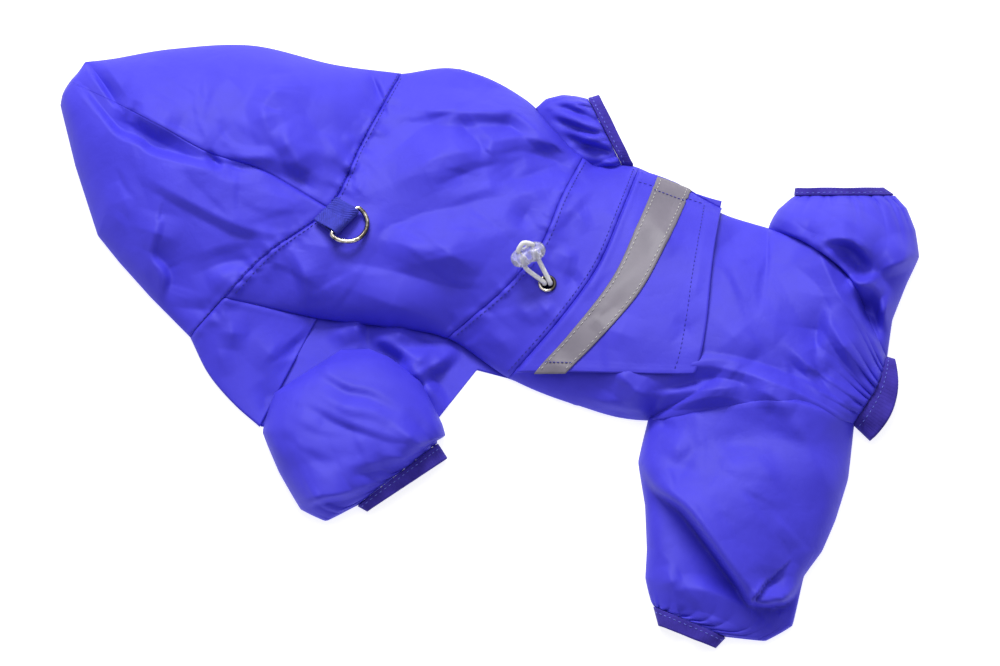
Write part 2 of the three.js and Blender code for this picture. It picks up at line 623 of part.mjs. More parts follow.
function addFlap() {
  add('back_flap', wallFromRows(
    sheetRows(flapPoint, [0, 1], [0, 1], 8, 14, { s0: 0, s1: 0 }), CLOTH, false), nylon);
  const tapeLift = movedOut(tapePoint, CLOTH + LAYER_GAP + 0.3);
  add('reflective_tape', wallFromRows(
    sheetRows(tapeLift, [0, 1], [0.02, 0.98], 2, 14, { s0: 0, s1: 0 }), CLOTH, false), tape);
}

// Hard parts are placed in real space with a frame on the cloth.

// The height of the body's cloth at a place on the drawing, found by stepping towards it.
function bodyAt(u, v, start) {
  let [s, x] = start;
  for (let i = 0; i < 30; i++) {
    const [p, ps, px] = [bodyPlan(s, x), bodyPlan(s + 0.01, x), bodyPlan(s, x + 0.01)];
    const [a, b, c, d] = [ps[0] - p[0], px[0] - p[0], ps[1] - p[1], px[1] - p[1]];
    const [du, dv, size] = [u - p[0], v - p[1], a * d - b * c];
    s += (0.01 * (du * d - dv * b)) / size;
    x += (0.01 * (dv * a - du * c)) / size;
  }
  return { s, x };
}

// A frame whose z axis stands on the cloth at s, x and whose y axis lies along the spine.
function clothFrame(s, x) {
  const place = (q) => onTable(q.u, q.v, q.z);
  const origin = place(bodyPoint(s, x));
  const along = place(bodyPoint(s + 0.05, x)).sub(origin);
  const over = place(bodyPoint(s, x + 0.02)).sub(origin);
  const up = over.cross(along).normalize();
  if (up.z < 0) up.negate();
  return { origin, up };
}

function frameMatrix(origin, xAxis, yAxis, zAxis) {
  return new THREE.Matrix4().makeBasis(xAxis, yAxis, zAxis).setPosition(origin);
}

// The webbing loop comes out of the neck seam and holds the D-ring's straight bar. Its frame:
// x across the webbing, y out of the seam towards the tail, z up.
const LOOP = { length: 15.6, tilt: 0.3, clear: 0.5 };
const RING = { innerWidth: 21.6, depth: 14.5, droop: 0.34 };

function loopFrame() {
  const nape = neckSeam(0.5);
  const z = BODY[0].crown + CLOTH / 2 + LAYER_GAP + WEBBING + 1.2;
  const origin = onTable(nape[0] - 1.6, nape[1] - 0.2, z);
  const out = new THREE.Vector3(0.74, -0.67, 0).normalize();
  const xAxis = new THREE.Vector3().crossVectors(out, new THREE.Vector3(0, 0, 1)).normalize();
  const yAxis = out.clone().multiplyScalar(Math.cos(LOOP.tilt)).setZ(Math.sin(LOOP.tilt));
  const zAxis = new THREE.Vector3().crossVectors(xAxis, yAxis);
  return { origin, xAxis, yAxis, zAxis };
}

function webbingLoop() {
  const inner = RING_WIRE / 2 + LOOP.clear;
  const outer = inner + WEBBING;
  const barY = LOOP.length;
  const shape = new THREE.Shape();
  shape.moveTo(0, -WEBBING - 0.15);
  shape.lineTo(4, -WEBBING - 0.15);
  shape.lineTo(barY - 1, -outer);
  shape.absarc(barY, 0, outer, -Math.PI / 2, Math.PI / 2, false);
  shape.lineTo(4, WEBBING + 0.15);
  shape.lineTo(0, WEBBING + 0.15);
  shape.closePath();
  const hole = new THREE.Path();
  hole.moveTo(6.5, 0);
  hole.lineTo(barY, inner);
  hole.absarc(barY, 0, inner, Math.PI / 2, -Math.PI / 2, true);
  hole.closePath();
  shape.holes.push(hole);
  const strip = new THREE.ExtrudeGeometry(shape,
    { depth: WEBBING_WIDTH, bevelEnabled: false, curveSegments: 6 });
  strip.translate(0, 0, -WEBBING_WIDTH / 2);
  const { origin, xAxis, yAxis, zAxis } = loopFrame();
  const geometry = strip.applyMatrix4(frameMatrix(origin, yAxis, zAxis, xAxis));
  return toGeometry(toSolid(geometry));
}

// The D-ring in its own plane: x along the bar, y towards the round of the D.
function dRing(droop) {
  const half = (RING.innerWidth + RING_WIRE) / 2;
  const path = new THREE.CurvePath();
  const corner = (x, y) => new THREE.Vector3(x, y, 0);
  const rise = RING.depth - half;
  path.add(new THREE.LineCurve3(corner(-half + 1, 0), corner(half - 1, 0)));
  path.add(new THREE.QuadraticBezierCurve3(corner(half - 1, 0), corner(half, 0), corner(half, 1)));
  path.add(new THREE.LineCurve3(corner(half, 1), corner(half, rise)));
  const arc = [];
  const arcSteps = 16;
  for (let i = 0; i <= arcSteps; i++) {
    const angle = (Math.PI * i) / arcSteps;
    arc.push(corner(half * Math.cos(angle), rise + half * Math.sin(angle)));
  }
  path.add(new THREE.CatmullRomCurve3(arc));
  path.add(new THREE.LineCurve3(corner(-half, rise), corner(-half, 1)));
  path.add(new THREE.QuadraticBezierCurve3(corner(-half, 1), corner(-half, 0), corner(-half + 1, 0)));
  const samples = path.getSpacedPoints(60).slice(0, 60);
  const loop = new THREE.CatmullRomCurve3(samples, true);
  const tube = new THREE.TubeGeometry(loop, 48, RING_WIRE / 2, 7, true);
  const { origin, xAxis, yAxis, zAxis } = loopFrame();
  const bar = origin.clone().addScaledVector(yAxis, LOOP.length);
  const yDown = yAxis.clone().applyAxisAngle(xAxis, -droop);
  const zDown = zAxis.clone().applyAxisAngle(xAxis, -droop);
  return toGeometry(toSolid(tube.applyMatrix4(frameMatrix(bar, xAxis, yDown, zDown))));
}

// The eyelet stands in the casing, and the drawcord's loop comes up through it to the toggle.
const EYELET = { at: [28.4, 29.6], start: [3.6, 0.6], hole: 3.5, flange: 5.6, height: 1.4 };
const TOGGLE = { length: 22, width: 12, height: 9, holeSpacing: 9, holeRadius: 1.9 };

function eyeletFrame() {
  const found = bodyAt(EYELET.at[0], EYELET.at[1], EYELET.start);
  const { origin, up } = clothFrame(found.s, found.x);
  const xAxis = new THREE.Vector3(1, 0, 0).addScaledVector(up, -up.x).normalize();
  const yAxis = new THREE.Vector3().crossVectors(up, xAxis);
  return { origin, xAxis, yAxis, zAxis: up };
}

function eyeletDrill() {
  const { origin, xAxis, yAxis, zAxis } = eyeletFrame();
  const drill = new THREE.CylinderGeometry(EYELET.hole, EYELET.hole, 6, 20).rotateX(Math.PI / 2);
  return toSolid(drill.applyMatrix4(frameMatrix(origin, xAxis, yAxis, zAxis)));
}

function eyelet() {
  const low = CLOTH / 2 + LAYER_GAP + 0.15;
  const { hole, flange, height } = EYELET;
  const profile = [[hole, low], [flange, low], [flange - 0.5, low + height * 0.7],
    [(hole + flange) / 2, low + height], [hole + 0.2, low + height * 0.7], [hole, low]];
  const points = profile.map(([r, z]) => new THREE.Vector2(r, z));
  const turned = new THREE.LatheGeometry(points, 24).rotateX(Math.PI / 2);
  const { origin, xAxis, yAxis, zAxis } = eyeletFrame();
  return toGeometry(toSolid(turned.applyMatrix4(frameMatrix(origin, xAxis, yAxis, zAxis))));
}

// The toggle's frame: x along it, z along its two holes, away from the eyelet.
function toggleFrame() {
  const { origin } = eyeletFrame();
  const centre = origin.clone().add(new THREE.Vector3(-11.5, 12.5, 15));
  const away = new THREE.Vector3(-0.5, 0.35, 0.79).normalize();
  const xAxis = new THREE.Vector3(0.9, 0.4, 0.15).normalize();
  away.addScaledVector(xAxis, -xAxis.dot(away)).normalize();
  const yAxis = new THREE.Vector3().crossVectors(away, xAxis);
  return { centre, xAxis, yAxis, zAxis: away };
}

function toggle() {
  const { length, width, height, holeSpacing, holeRadius } = TOGGLE;
  const bevel = 2.4;
  const lobe = width / 2 - bevel;
  const reach = length / 2 - bevel - lobe;
  const outline = new THREE.Shape();
  outline.absarc(reach, 0, lobe, -Math.PI / 2, Math.PI / 2, false);
  outline.quadraticCurveTo(0, lobe - 1.6, -reach, lobe);
  outline.absarc(-reach, 0, lobe, Math.PI / 2, 1.5 * Math.PI, false);
  outline.quadraticCurveTo(0, 1.6 - lobe, reach, -lobe);
  const body = new THREE.ExtrudeGeometry(outline, { depth: height - 2 * bevel, bevelEnabled: true,
    bevelThickness: bevel, bevelSize: bevel, bevelSegments: 3, curveSegments: 5 });
  body.translate(0, 0, -(height / 2 - bevel));
  let solid = toSolid(body);
  for (const side of [-1, 1]) {
    const drill = new THREE.CylinderGeometry(holeRadius, holeRadius, 2 * height, 12);
    drill.rotateX(Math.PI / 2).translate((side * holeSpacing) / 2, 0, 0);
    solid = solid.subtract(toSolid(drill));
  }
  const { centre, xAxis, yAxis, zAxis } = toggleFrame();
  return toGeometry(solid).applyMatrix4(frameMatrix(centre, xAxis, yAxis, zAxis));
}

// One loop of elastic cord: up through the eyelet, through one hole of the toggle, over its
// top, and back through the other hole into the eyelet.
function drawcordRoute() {
  const ring = eyeletFrame();
  const knob = toggleFrame();
  const route = [];
  const side = (sign) => {
    const inEyelet = (across1, up) => ring.origin.clone()
      .addScaledVector(ring.xAxis, sign * across1).addScaledVector(ring.zAxis, up);
    const inToggle = (up) => knob.centre.clone()
      .addScaledVector(knob.xAxis, (sign * TOGGLE.holeSpacing) / 2).addScaledVector(knob.zAxis, up);
    return [inEyelet(1.7, 0.4), inEyelet(1.75, 3), inToggle(-8.5), inToggle(-4), inToggle(0),
      inToggle(4), inToggle(5.5)];
  };
  const top = knob.centre.clone().addScaledVector(knob.zAxis, 9);
  route.push(...side(-1), top, ...side(1).reverse());
  return route;
}

function drawcord() {
  const path = new THREE.CatmullRomCurve3(drawcordRoute(), false, 'centripetal');
  const section = new THREE.Shape();
  section.absarc(0, 0, CORD_DIAMETER / 2, 0, 2 * Math.PI, false);
  const tube = new THREE.ExtrudeGeometry(section,
    { steps: 36, curveSegments: 4, extrudePath: path, bevelEnabled: false });
  return toGeometry(toSolid(tube));
}

function addHardParts() {
  add('webbing_loop', webbingLoop(), webbing);
  add('d_ring', dRing(RING.droop), steel);
  add('eyelet', eyelet(), steel);
  add('toggle', toggle(), clearPlastic);
  add('drawcord', drawcord(), cordWhite);
}

addHood();
addBodyPanels();
addUnderside();
addLegs();
addCuffs();
addFlap();
addHardParts();

export default coat;
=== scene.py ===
"""The looks of a four-legged dog raincoat in thin coated nylon, laid out on a table, back up."""

import math
import random

import bmesh
import bpy
import numpy as np
from mathutils import Matrix, Vector


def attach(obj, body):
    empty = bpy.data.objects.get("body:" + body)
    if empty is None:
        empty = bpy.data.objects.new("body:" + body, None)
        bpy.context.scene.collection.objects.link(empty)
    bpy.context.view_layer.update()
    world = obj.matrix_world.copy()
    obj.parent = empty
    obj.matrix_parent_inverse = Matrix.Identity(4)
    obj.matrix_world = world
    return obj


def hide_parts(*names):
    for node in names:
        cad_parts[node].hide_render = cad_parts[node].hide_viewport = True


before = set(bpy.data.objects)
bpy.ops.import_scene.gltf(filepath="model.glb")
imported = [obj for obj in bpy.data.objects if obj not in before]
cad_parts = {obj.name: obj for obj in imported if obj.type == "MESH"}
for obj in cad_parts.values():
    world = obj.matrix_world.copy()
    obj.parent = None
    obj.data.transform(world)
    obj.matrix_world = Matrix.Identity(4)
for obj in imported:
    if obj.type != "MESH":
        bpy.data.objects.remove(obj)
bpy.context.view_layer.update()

# Sizes in millimetres, as on the coat
MM = 0.001
NYLON = 0.7
KNIT = 1.5
STEP = 1.35
ON_BELLY = 2.1
FOLD_RADIUS = 2.4
HOOD_RETURN = 42
CREASE_DEPTH = 1.8
CREST_RADIUS = 0.45
WEBBING_WIDTH = 20
WEBBING = 1.2
RING_WIRE = 2.8
TAPE_WIDTH = 20
TAPE_SET_BACK = 12
CORD_DIAMETER = 3
CHEST_SEAM_ON_NECK = 0.88

# The coat is drawn as an eye sees it from 65 degrees above the table: u runs to the right, v up
# the drawing, and z is the height over the table.
EYE_ELEVATION = math.radians(65)
LAYOUT_ORIGIN = (-5.78, -8.71)


def on_table(u, v, z):
    """Real places in metres of points of the drawing."""
    u, v, z = np.broadcast_arrays(u, v, z)
    y = v / math.sin(EYE_ELEVATION) - z / math.tan(EYE_ELEVATION)
    return np.stack([u - LAYOUT_ORIGIN[0], y - LAYOUT_ORIGIN[1], z], axis=-1) * MM


# Curves


def smooth(values, at, corners=0):
    """The place at on a smooth curve through the values, one row of them or one for each point.

    corners is how far, up to 1, straight lines take the curve's place."""
    values = np.asarray(values, dtype=float)
    at = np.asarray(at, dtype=float)
    last = len(values) - 1
    i = np.clip(np.floor(at).astype(int), 0, last - 1)
    f = at - i

    def pick(k):
        if values.ndim == 1:
            return values[k]
        return np.take_along_axis(values, np.broadcast_to(k, values.shape[1:])[None], axis=0)[0]

    b, c = pick(i), pick(i + 1)
    a = np.where(i > 0, pick(np.maximum(i - 1, 0)), 2 * b - c)
    d = np.where(i < last - 1, pick(np.minimum(i + 2, last)), 2 * c - b)
    curve = b + 0.5 * f * (c - a + f * (2 * a - 5 * b + 4 * c - d + f * (3 * (b - c) + d - a)))
    return mix(curve, mix(b, c, f), corners)


def straight(values, at):
    return np.interp(at, np.arange(len(values)), values)


def mix(a, b, share):
    return a + (b - a) * share


def across(points):
    """A line across a piece through its points, from 0 at the first to 1 at the last."""
    points = np.array(points, dtype=float)
    return lambda x: (smooth(points[:, 0], x * (len(points) - 1)),
                      smooth(points[:, 1], x * (len(points) - 1)))


def chord(left, right, bow=0):
    """A line from left to right that bows by so many millimetres in its middle."""
    du, dv = right[0] - left[0], right[1] - left[1]
    length = math.hypot(du, dv)

    def line(x):
        lift = bow * 4 * x * (1 - x) / length
        return left[0] + du * x - dv * lift, left[1] + dv * x + du * lift
    return line


def side_rise(y, sharpness):
    inside = np.clip(y, 0, 1)
    sharp = (1 - (1 - inside) ** 2.4) ** 0.7
    return mix(np.sin(inside * math.pi / 2), sharp, sharpness)


def tube_top(x):
    return np.maximum(0, 1 - x * x) ** 0.4


# The cut of the coat as it lies. Every point is a place on the drawing.

neck_seam = across([(-60, 157), (-83, 115), (-103, 75), (-143, 45), (-186, -2)])


def neck_of_back(x):
    return neck_seam(np.where(x < 0.5, x, 0.5 + (x - 0.5) * 2 * (CHEST_SEAM_ON_NECK - 0.5)))


# line, crown height, far and near edge heights, and how sharply each side rises
BODY = [
    (neck_of_back, 26, 2.1, 17, 1, 0),
    (across([(-25, 160), (-45, 116), (-65, 77), (-85, 47), (-109, 9)]), 32, 2.1, 2.1, 1, 1),
    (across([(13, 143), (-9, 107), (-29, 71), (-49, 35), (-70, 4)]), 36, 2.1, 2.1, 1, 1),
    (across([(50, 106), (37, 82), (24, 52), (3, 27), (-32, -3)]), 29, 2.1, 2.1, 1, 1),
    (across([(84, 100), (73, 73), (58, 39), (34, 6), (5, -27)]), 28, 2.1, 2.1, 1, 1),
    (across([(131, 74), (114, 44), (96, 11), (75, -16), (45, -43)]), 32, 2.1, 2.1, 1, 1),
    (across([(162, 63), (159, 26), (147, -4), (125, -30), (89, -52)]), 35, 3, 3, 0.6, 0.6),
    (across([(203, 43), (200, 16), (193, -6), (181, -24), (163, -41)]), 31, 16, 25, 0, 0),
    (across([(232, -15), (228, -26), (224, -35), (218, -44), (212, -54)]), 16, 3, 3, 1, 1),
]
CROWN, FAR_Z, NEAR_Z, FAR_SHARP, NEAR_SHARP = ([row[i] for row in BODY] for i in range(1, 6))
NECK, FRONT_WAIST, REAR_WAIST, HIPS, HAUNCHES, TAIL = 0, 3, 4, 6, 7, 8

# line and crown height
HOOD = [
    (neck_seam, 26),
    (across([(-101, 162.5), (-109, 135), (-143, 98), (-171, 71), (-210, 22)]), 34),
    (across([(-150, 174), (-159, 143), (-176, 109), (-201, 86), (-229, 43)]), 36),
    (across([(-198, 172), (-201, 149), (-203, 124), (-225, 104), (-242, 59)]), 30),
    (across([(-234, 166), (-231, 153), (-230, 138), (-244, 122), (-256, 101)]), 22),
    (across([(-251, 164), (-255, 158), (-260, 152), (-264, 145), (-265.5, 138)]), 12),
]

# place on the edge of the back panel, and point on the near edge
CHEST = [(0, (-186, -2)), (0.33, (-175, -24)), (0.66, (-160, -42)), (0.98, (-144, -56))]

# far and near edge
BELLY = [
    ((-60, 157), (-186, -2)), ((-25, 160), (-143, -56)), ((13, 143), (-90, -54)),
    ((34, 122), (-37, -51)), ((50, 104), (-14, -22)), ((84, 97), (5, -27)),
    ((131, 71), (45, -43)), ((160, 60), (89, -49)), ((200, 39), (163, -37)),
    ((229, -16), (211, -51)),
]

# left and right end, height, the floor it lies on, and how far the section bows
ON_CHEST = 3.0
FRONT_LEG_NEAR = [
    ((-95, -10), (-79, -9.5), 6.6, ON_CHEST, 0), ((-111, -20), (-66, -15), 19, ON_CHEST, 0),
    ((-135, -36), (-48, -29), 27, ON_CHEST, 0), ((-142, -59), (-35, -54), 33, ON_CHEST, 0),
    ((-132, -83), (-33, -61), 31, 0, 0), ((-119, -105), (-36, -63), 24, 0, 0),
    ((-104, -112), (-38, -63.8), 16, 0, 0), ((-85, -102.4), (-38, -66), 10.4, 0, 0),
]
FRONT_LEG_FAR = [
    ((22, 136), (58, 98), 6, 0, -8), ((28, 141.5), (64, 99), 12, 0, -5),
    ((38, 144), (69, 100), 18, 0, -2), ((47, 143), (71.5, 101), 16, 0, 0),
    ((53, 141.5), (73, 102), 11.4, 0, 0),
]
REAR_LEG_NEAR = [
    (None, None, 26, 0, 0), ((83, -77), (208, -87), 34, 0, 0), ((87, -103), (200, -112), 32, 0, 0),
    ((88, -129), (192, -130), 27, 0, 0), ((87, -146), (181, -145), 22, 0, 0),
    ((89, -155), (174, -174), 17, 0, 0), ((90.5, -160), (158, -183), 13.5, 0, 0),
    ((92, -162.5), (134, -180.5), 10.4, 0, 0),
]
REAR_LEG_FAR = [
    (None, None, 16, 0, 0), ((163, 66), (235.5, 8), 23, 0, 6), ((165, 70), (244, 29), 28, 0, 3),
    ((168, 74.5), (252, 46), 28, 0, 0), ((172, 78), (250, 62), 24, 0, 0),
    ((175.5, 81), (245, 75), 17, 0, 0), ((178, 82.6), (238, 82.8), 11.4, 0, 0),
]

# at the seam and at the free edge: left and right end, height and bow
CUFFS = {
    "front_cuff_near": (((-84.7, -102.8), (-37.7, -66.4), 12, 0), ((-79, -106), (-32, -75), 11, 0)),
    "front_cuff_far": (((53.5, 141.7), (73.6, 102.2), 12, 0), ((60, 143.6), (80.4, 101.6), 11, 0)),
    "rear_cuff_near": (((92.1, -163), (133.8, -181), 12, 0), ((95, -174), (128, -187), 11, 0)),
    "rear_cuff_far": (((178.1, 83.1), (237, 83.3), 12, 0), ((178.6, 87.4), (231, 87.4), 11, 0)),
    "tail_band": (((231.4, -14.4), (211.4, -53.8), 15, 2.4), ((237, -16), (222, -64), 14, 7.5)),
}

# Creases. Each is a line on the drawing, with how far its slope reaches to the left and to the
# right of its run, and its heights from start to end, below zero for a trough.
BODY_CREASES = [
    (7, 4, (0, 2.4, 4, 4, 2), ((-60, 136), (-36, 134), (-3, 133), (10, 133), (27, 118))),
    (3, 9, (0, -1.4, -2, -1.4, 0), ((-30, 128), (-14, 127), (2, 126), (14, 120), (22, 116))),
    (8, 4, (0, 2.6, 3.6, 3.6, 2), ((-12, 114), (4, 117), (17, 118), (34, 113), (49, 106))),
    (3, 5, (0, -2.5, -1.5), ((-26, 131), (-20, 122), (-12, 114))),
    (9, 6, (0, -2.5, -3, 0), ((-40, 88), (-24, 95), (-10, 100), (15, 105))),
    (9, 5, (0, -3, -3, -1), ((-6, 89), (9, 93), (22, 97), (42, 104))),
    (12, 9, (0, -2.6, -3, -1), ((-76, 100), (-58, 115), (-42, 127), (-24, 134))),
    (11, 11, (0, -2, -3.4, -3.4, -2, 0),
     ((-92, 54), (-72, 61), (-49, 71), (-27, 76), (-10, 81), (2, 82), (22, 81))),
    (12, 9, (0, 2.6, 2.6, 0), ((-66, 92), (-42, 104), (-16, 110), (4, 110))),
    (5, 7, (0, 2.6, 3.4, 2.6, 0), ((14, 142), (28, 132), (40, 119), (48, 109), (58, 104))),
    (5, 5, (0, -2, 0), ((22, 81), (15, 70), (11, 62))),
    (12, 7, (0, 3, 0), ((-52, 67), (-37, 53), (-24, 44), (-12, 36))),
    (10, 3, (0.6, 3.2, 0.6), ((-126, 52), (-117, 35), (-115, 18))),
    (3, 3, (0, 1.2, 0), ((-92, 90), (-85, 87), (-79, 78))),
    (4, 6, (0, 1.2, 0), ((-121, 54), (-106, 52), (-90, 46))),
    (12, 12, (0, 2.5, 0), ((-104, 32), (-64, 17), (-30, 5))),
    (8, 14, (0, -3, -3, 0), ((-96, 44), (-60, 36), (-30, 28), (-8, 26))),
    (4, 7, (0, 1.5, 0), ((-72, 60), (-52, 50), (-40, 42))),
    (5, 4, (0, -1.6, 0), ((-40, 150), (-20, 147), (0, 137))),
    (3, 5, (0, 1.4, 0), ((33, 50), (40, 46), (47, 45))),
    (3, 4, (0, 1.2, 0), ((22, 20), (28, 14), (34, 6))),
    (4, 3, (0, 1.0, 0), ((8, 18), (16, 12), (20, 4))),
    (4, 4, (0, 1.1, 0), ((-12, 4), (0, -4), (8, -14))),
    (3, 4, (0, -1.2, 0), ((38, 36), (44, 32), (47, 24))),
    (3, 3, (0, 1.0, 0), ((42, 78), (48, 70), (52, 60))),
    (9, 5, (0, 4, 4, 0), ((64, -19), (78, -31), (93, -43))),
    (6, 3, (0, 3, 3, 0), ((48, -37), (66, -42), (80, -45), (94, -44))),
    (3, 4, (0, -2.4, 0), ((60, -44), (72, -47), (84, -48))),
    (4, 12, (0, 2.5, 3.5, 4.5, 5, 4, 0),
     ((84, -21), (114, -20), (133, -21), (156, -27), (180, -37), (201, -49), (213, -64))),
    (10, 10, (0, 2, 3.5, 3.5, 2, 0), ((92, -54), (120, -47), (148, -42), (170, -42), (192, -47), (212, -56))),
    (5, 5, (0, -4, -4, -2, 0), ((88, -35), (104, -32), (120, -28), (133, -27), (150, -31), (162, -36))),
    (6, 5, (0, 3, 3, 0), ((93, -44), (102, -36), (133, -33), (147, -31))),
    (7, 4, (0, 3, 2, 0), ((145, -28), (165, -39), (176, -47))),
    (3, 12, (0, -3.2, 0), ((194, 22), (190, 2), (188, -22))),
    (4, 13, (0, 4.5, 4.5, 3, 0), ((186, 56), (192, 47), (202, 25), (211, 12), (223, -4), (231, -15))),
    (9, 3, (0, -3.4, 0), ((186, -10), (192, -26), (203, -43))),
    (8, 10, (0, -2.5, 0), ((132, 66), (140, 56), (146, 44))),
    (14, 14, (0, 2, 0), ((120, 20), (140, -2), (150, -18))),
    (6, 3, (0, 3.6, 1), ((168, -4), (186, -20), (208, -36))),
    (7, 2.6, (0, 3.4, 1), ((194, 14), (206, -8), (222, -27))),
    (5, 2.6, (0, 3.2, 1), ((174, -24), (194, -36), (214, -47))),
]
FAR_LEG_CREASES = [
    (9, 9, (0, 4, 5.4, 5, 0), ((160, 63), (184, 57), (203, 43), (213, 27), (224, 4))),
    (9, 2, (0, 5, 6, 0), ((188, 54), (205, 57), (216, 52), (227, 38))),
    (5, 5, (-5,), ((210, 46), (215, 41))),
    (2, 5, (0, 4.4, 4.4, 0), ((209, 34), (215, 30), (221, 30), (228, 35))),
    (8, 3, (0, 5, 5, 1), ((226, 38), (236, 41), (244, 44), (252, 47))),
    (5, 2, (0, -5, 0), ((212, 32), (219, 15), (221, 5))),
    (6, 2.4, (0, 4.4, 0), ((226, 30), (230, 14), (233, 2))),
    (2, 4, (0, -3.6, 0), ((229, 26), (226, 10), (228, -4))),
    (12, 10, (0, 2, 0), ((184, 70), (208, 76), (236, 72))),
    (5, 7, (0, 1.6, 0), ((190, 62), (206, 68), (228, 58))),
    (6, 4, (0, -2, 0), ((174, 70), (184, 62), (194, 58))),
]
NEAR_LEG_CREASES = [
    (16, 1.7, (2, 5, 7, 8.5, 8.5, 6, 1), ((84, -77), (94, -92), (108, -102), (119, -115), (140, -144),
                                         (149, -158), (152, -160))),
    (3, 11, (0, -3, -5, -5.5, -5, -1), ((86, -84), (93, -95), (106, -106), (116, -118), (137, -147),
                                       (151, -164), (166, -177))),
    (6, 1.4, (1, 6, 6, 1), ((147, -158), (155, -160), (171, -157), (182, -140))),
    (2.4, 8, (0, -4, -4, 0), ((150, -163), (160, -164), (172, -162), (182, -150))),
    (4, 6, (0, 3, 3, 0), ((103, -153), (116, -152), (129, -155), (149, -164), (165, -175))),
    (9, 9, (0, -3, 0), ((90, -68), (110, -80), (130, -88))),
    (10, 8, (0, 2, 2, 0), ((128, -79), (141, -88), (156, -112), (176, -127))),
    (3, 3, (0, -2.4, 0), ((88, -53), (98, -55), (110, -58))),
    (10, 10, (0, 3, 2.5, 1), ((166, -42), (178, -56), (190, -80), (201, -96))),
    (3, 5, (0, 2.4, 1), ((99, -138), (102, -148), (105, -160))),
    (6, 8, (0, 1.6, 0), ((140, -62), (160, -84), (170, -104))),
    (8, 6, (0, -2, 0), ((118, -60), (140, -66), (160, -68))),
    (4, 6, (0, 1.8, 0), ((104, -60), (106, -70), (104, -80))),
]
FRONT_LEG_CREASES = [
    (2, 8, (0, -2.4, -1.8, 0), ((-112, -24), (-93, -35), (-77, -39), (-54, -51))),
    (8, 2.4, (0, 2, 1.4, 0), ((-114, -32), (-93, -44), (-74, -48), (-56, -58))),
    (2, 9, (-0.5, -2.4, -2.2, 0), ((-116, -45), (-104, -51), (-89, -58), (-56, -69))),
    (10, 1.8, (2, 5, 4, 1), ((-120, -103), (-109, -98), (-96, -96), (-82, -92))),
    (2.5, 3, (0, -2.2, -1), ((-90, -85), (-76, -83), (-62, -80))),
    (4, 5, (0, 1.8, 0), ((-112, -25), (-104, -19), (-92, -15))),
    (3, 4, (0, 0.8, 0), ((-126, -52), (-110, -51), (-93, -53))),
    (5, 5, (0, 2.4, 2), ((-66, -54), (-54, -62), (-46, -68))),
    (3, 3, (0, -2, -2), ((-58, -48), (-48, -56), (-42, -64))),
    (4, 4, (0, 2, 2), ((-72, -72), (-62, -74), (-52, -76))),
]
HOOD_CREASES = [
    (1.5, 16, (1, 1.6, 1.8, 1.6, 0),
     ((-252, 146), (-239, 129), (-230, 120), (-218, 115), (-209, 109), (-185, 103), (-168, 99))),
    (13, 2, (-0.6, -2.4, -3.2, -3, -0.6),
     ((-252, 149), (-237, 132), (-228, 122), (-216, 117), (-207, 111), (-184, 105), (-168, 101))),
    (12, 5, (0, 2, 2.6, 1, 0), ((-232, 141), (-220, 135), (-203, 126), (-186, 118), (-172, 110))),
    (8, 4, (0, 2, 3, 1.5, 0), ((-230, 138), (-220, 134), (-203, 124), (-184, 115), (-176, 109))),
    (3.5, 1.2, (-1.5, -3, -3, -1), ((-249, 163), (-240, 151), (-231, 138))),
    (1.5, 2, (0, -2.4, -2.4, 0), ((-177, 110), (-172, 104), (-167, 99))),
    (4, 8, (0, 1.6, 0), ((-177, 166), (-164, 154), (-152, 142))),
    (11, 5, (0, 3, 2, 3, 0), ((-138, 156), (-137, 146), (-142, 138), (-142, 130), (-132, 106))),
    (9, 4, (0, 3, 3, 0.5), ((-134, 124), (-125, 109), (-118, 95))),
    (6, 5, (0, 1.6, 1), ((-108, 122), (-99, 110), (-93, 101))),
    (3, 3, (0, 1.8, 1.6, 0), ((-166, 110), (-155, 106), (-143, 106), (-132, 105))),
    (5, 5, (0, -3, 0), ((-176, 108), (-158, 101), (-142, 103))),
    (4, 6, (0, -2.4, -2.4, 0), ((-158, 102), (-132, 95), (-118, 90), (-107, 80))),
    (3, 3, (0, -2, 0), ((-225, 135), (-221, 134), (-216, 132))),
    (6, 6, (0, -1.8, 0), ((-206, 130), (-192, 124), (-178, 116))),
    (6, 7, (0, -1, -1, 0), ((-203, 106), (-180, 86), (-170, 76), (-161, 67))),
    (13, 2.6, (0, 2.2, 2.6, 1.6, 0), ((-218, 97), (-186, 79), (-160, 66), (-143, 61), (-127, 58))),
    (2, 8, (1, 2.4, 3.6, 3.4, 2), ((-206, 66), (-210, 46), (-203, 37), (-202, 30), (-206, 20))),
    (12, 2.5, (0, -2.6, -2.6, 0), ((-208, 52), (-200, 38), (-199, 30), (-203, 20))),
    (3, 3, (0, -1.6, -1), ((-206, 19), (-190, 15), (-172, 14))),
    (7, 9, (0, 2, 0), ((-203, 72), (-206, 60), (-211, 49))),
    (5, 5, (0, -2.6, -1.5), ((-186, 34), (-166, 42), (-146, 45))),
    (5, 8, (0, 1.8, 0.8), ((-150, 56), (-142, 54), (-132, 52))),
    (6, 9, (0, 2.2, 1), ((-176, 30), (-166, 34), (-152, 38))),
    (12, 10, (0, 2, 0), ((-160, 170), (-128, 160), (-104, 148))),
    (1.2, 4, (-1.5, -3.6, -3, -1), ((-79, 159), (-76, 152), (-73, 145), (-70, 138))),
    (6, 8, (0, 1.8, 0), ((-236, 100), (-226, 80), (-220, 60))),
]
CHEST_CREASES = [
    (9, 9, (0, -2, 0), ((-126, -4), (-122, -9), (-120, -14))),
    (5, 6, (0, 1.8, 0), ((-162, 13), (-161, 0), (-162, -10))),
    (4, 4, (0, 1.4, 0), ((-172, 0), (-168, -14), (-164, -26))),
    (6, 6, (0, 1.6, 0), ((-150, 0), (-138, -12), (-128, -18))),
    (6, 5, (0, -2, 0), ((-146, -30), (-138, -42), (-132, -50))),
]
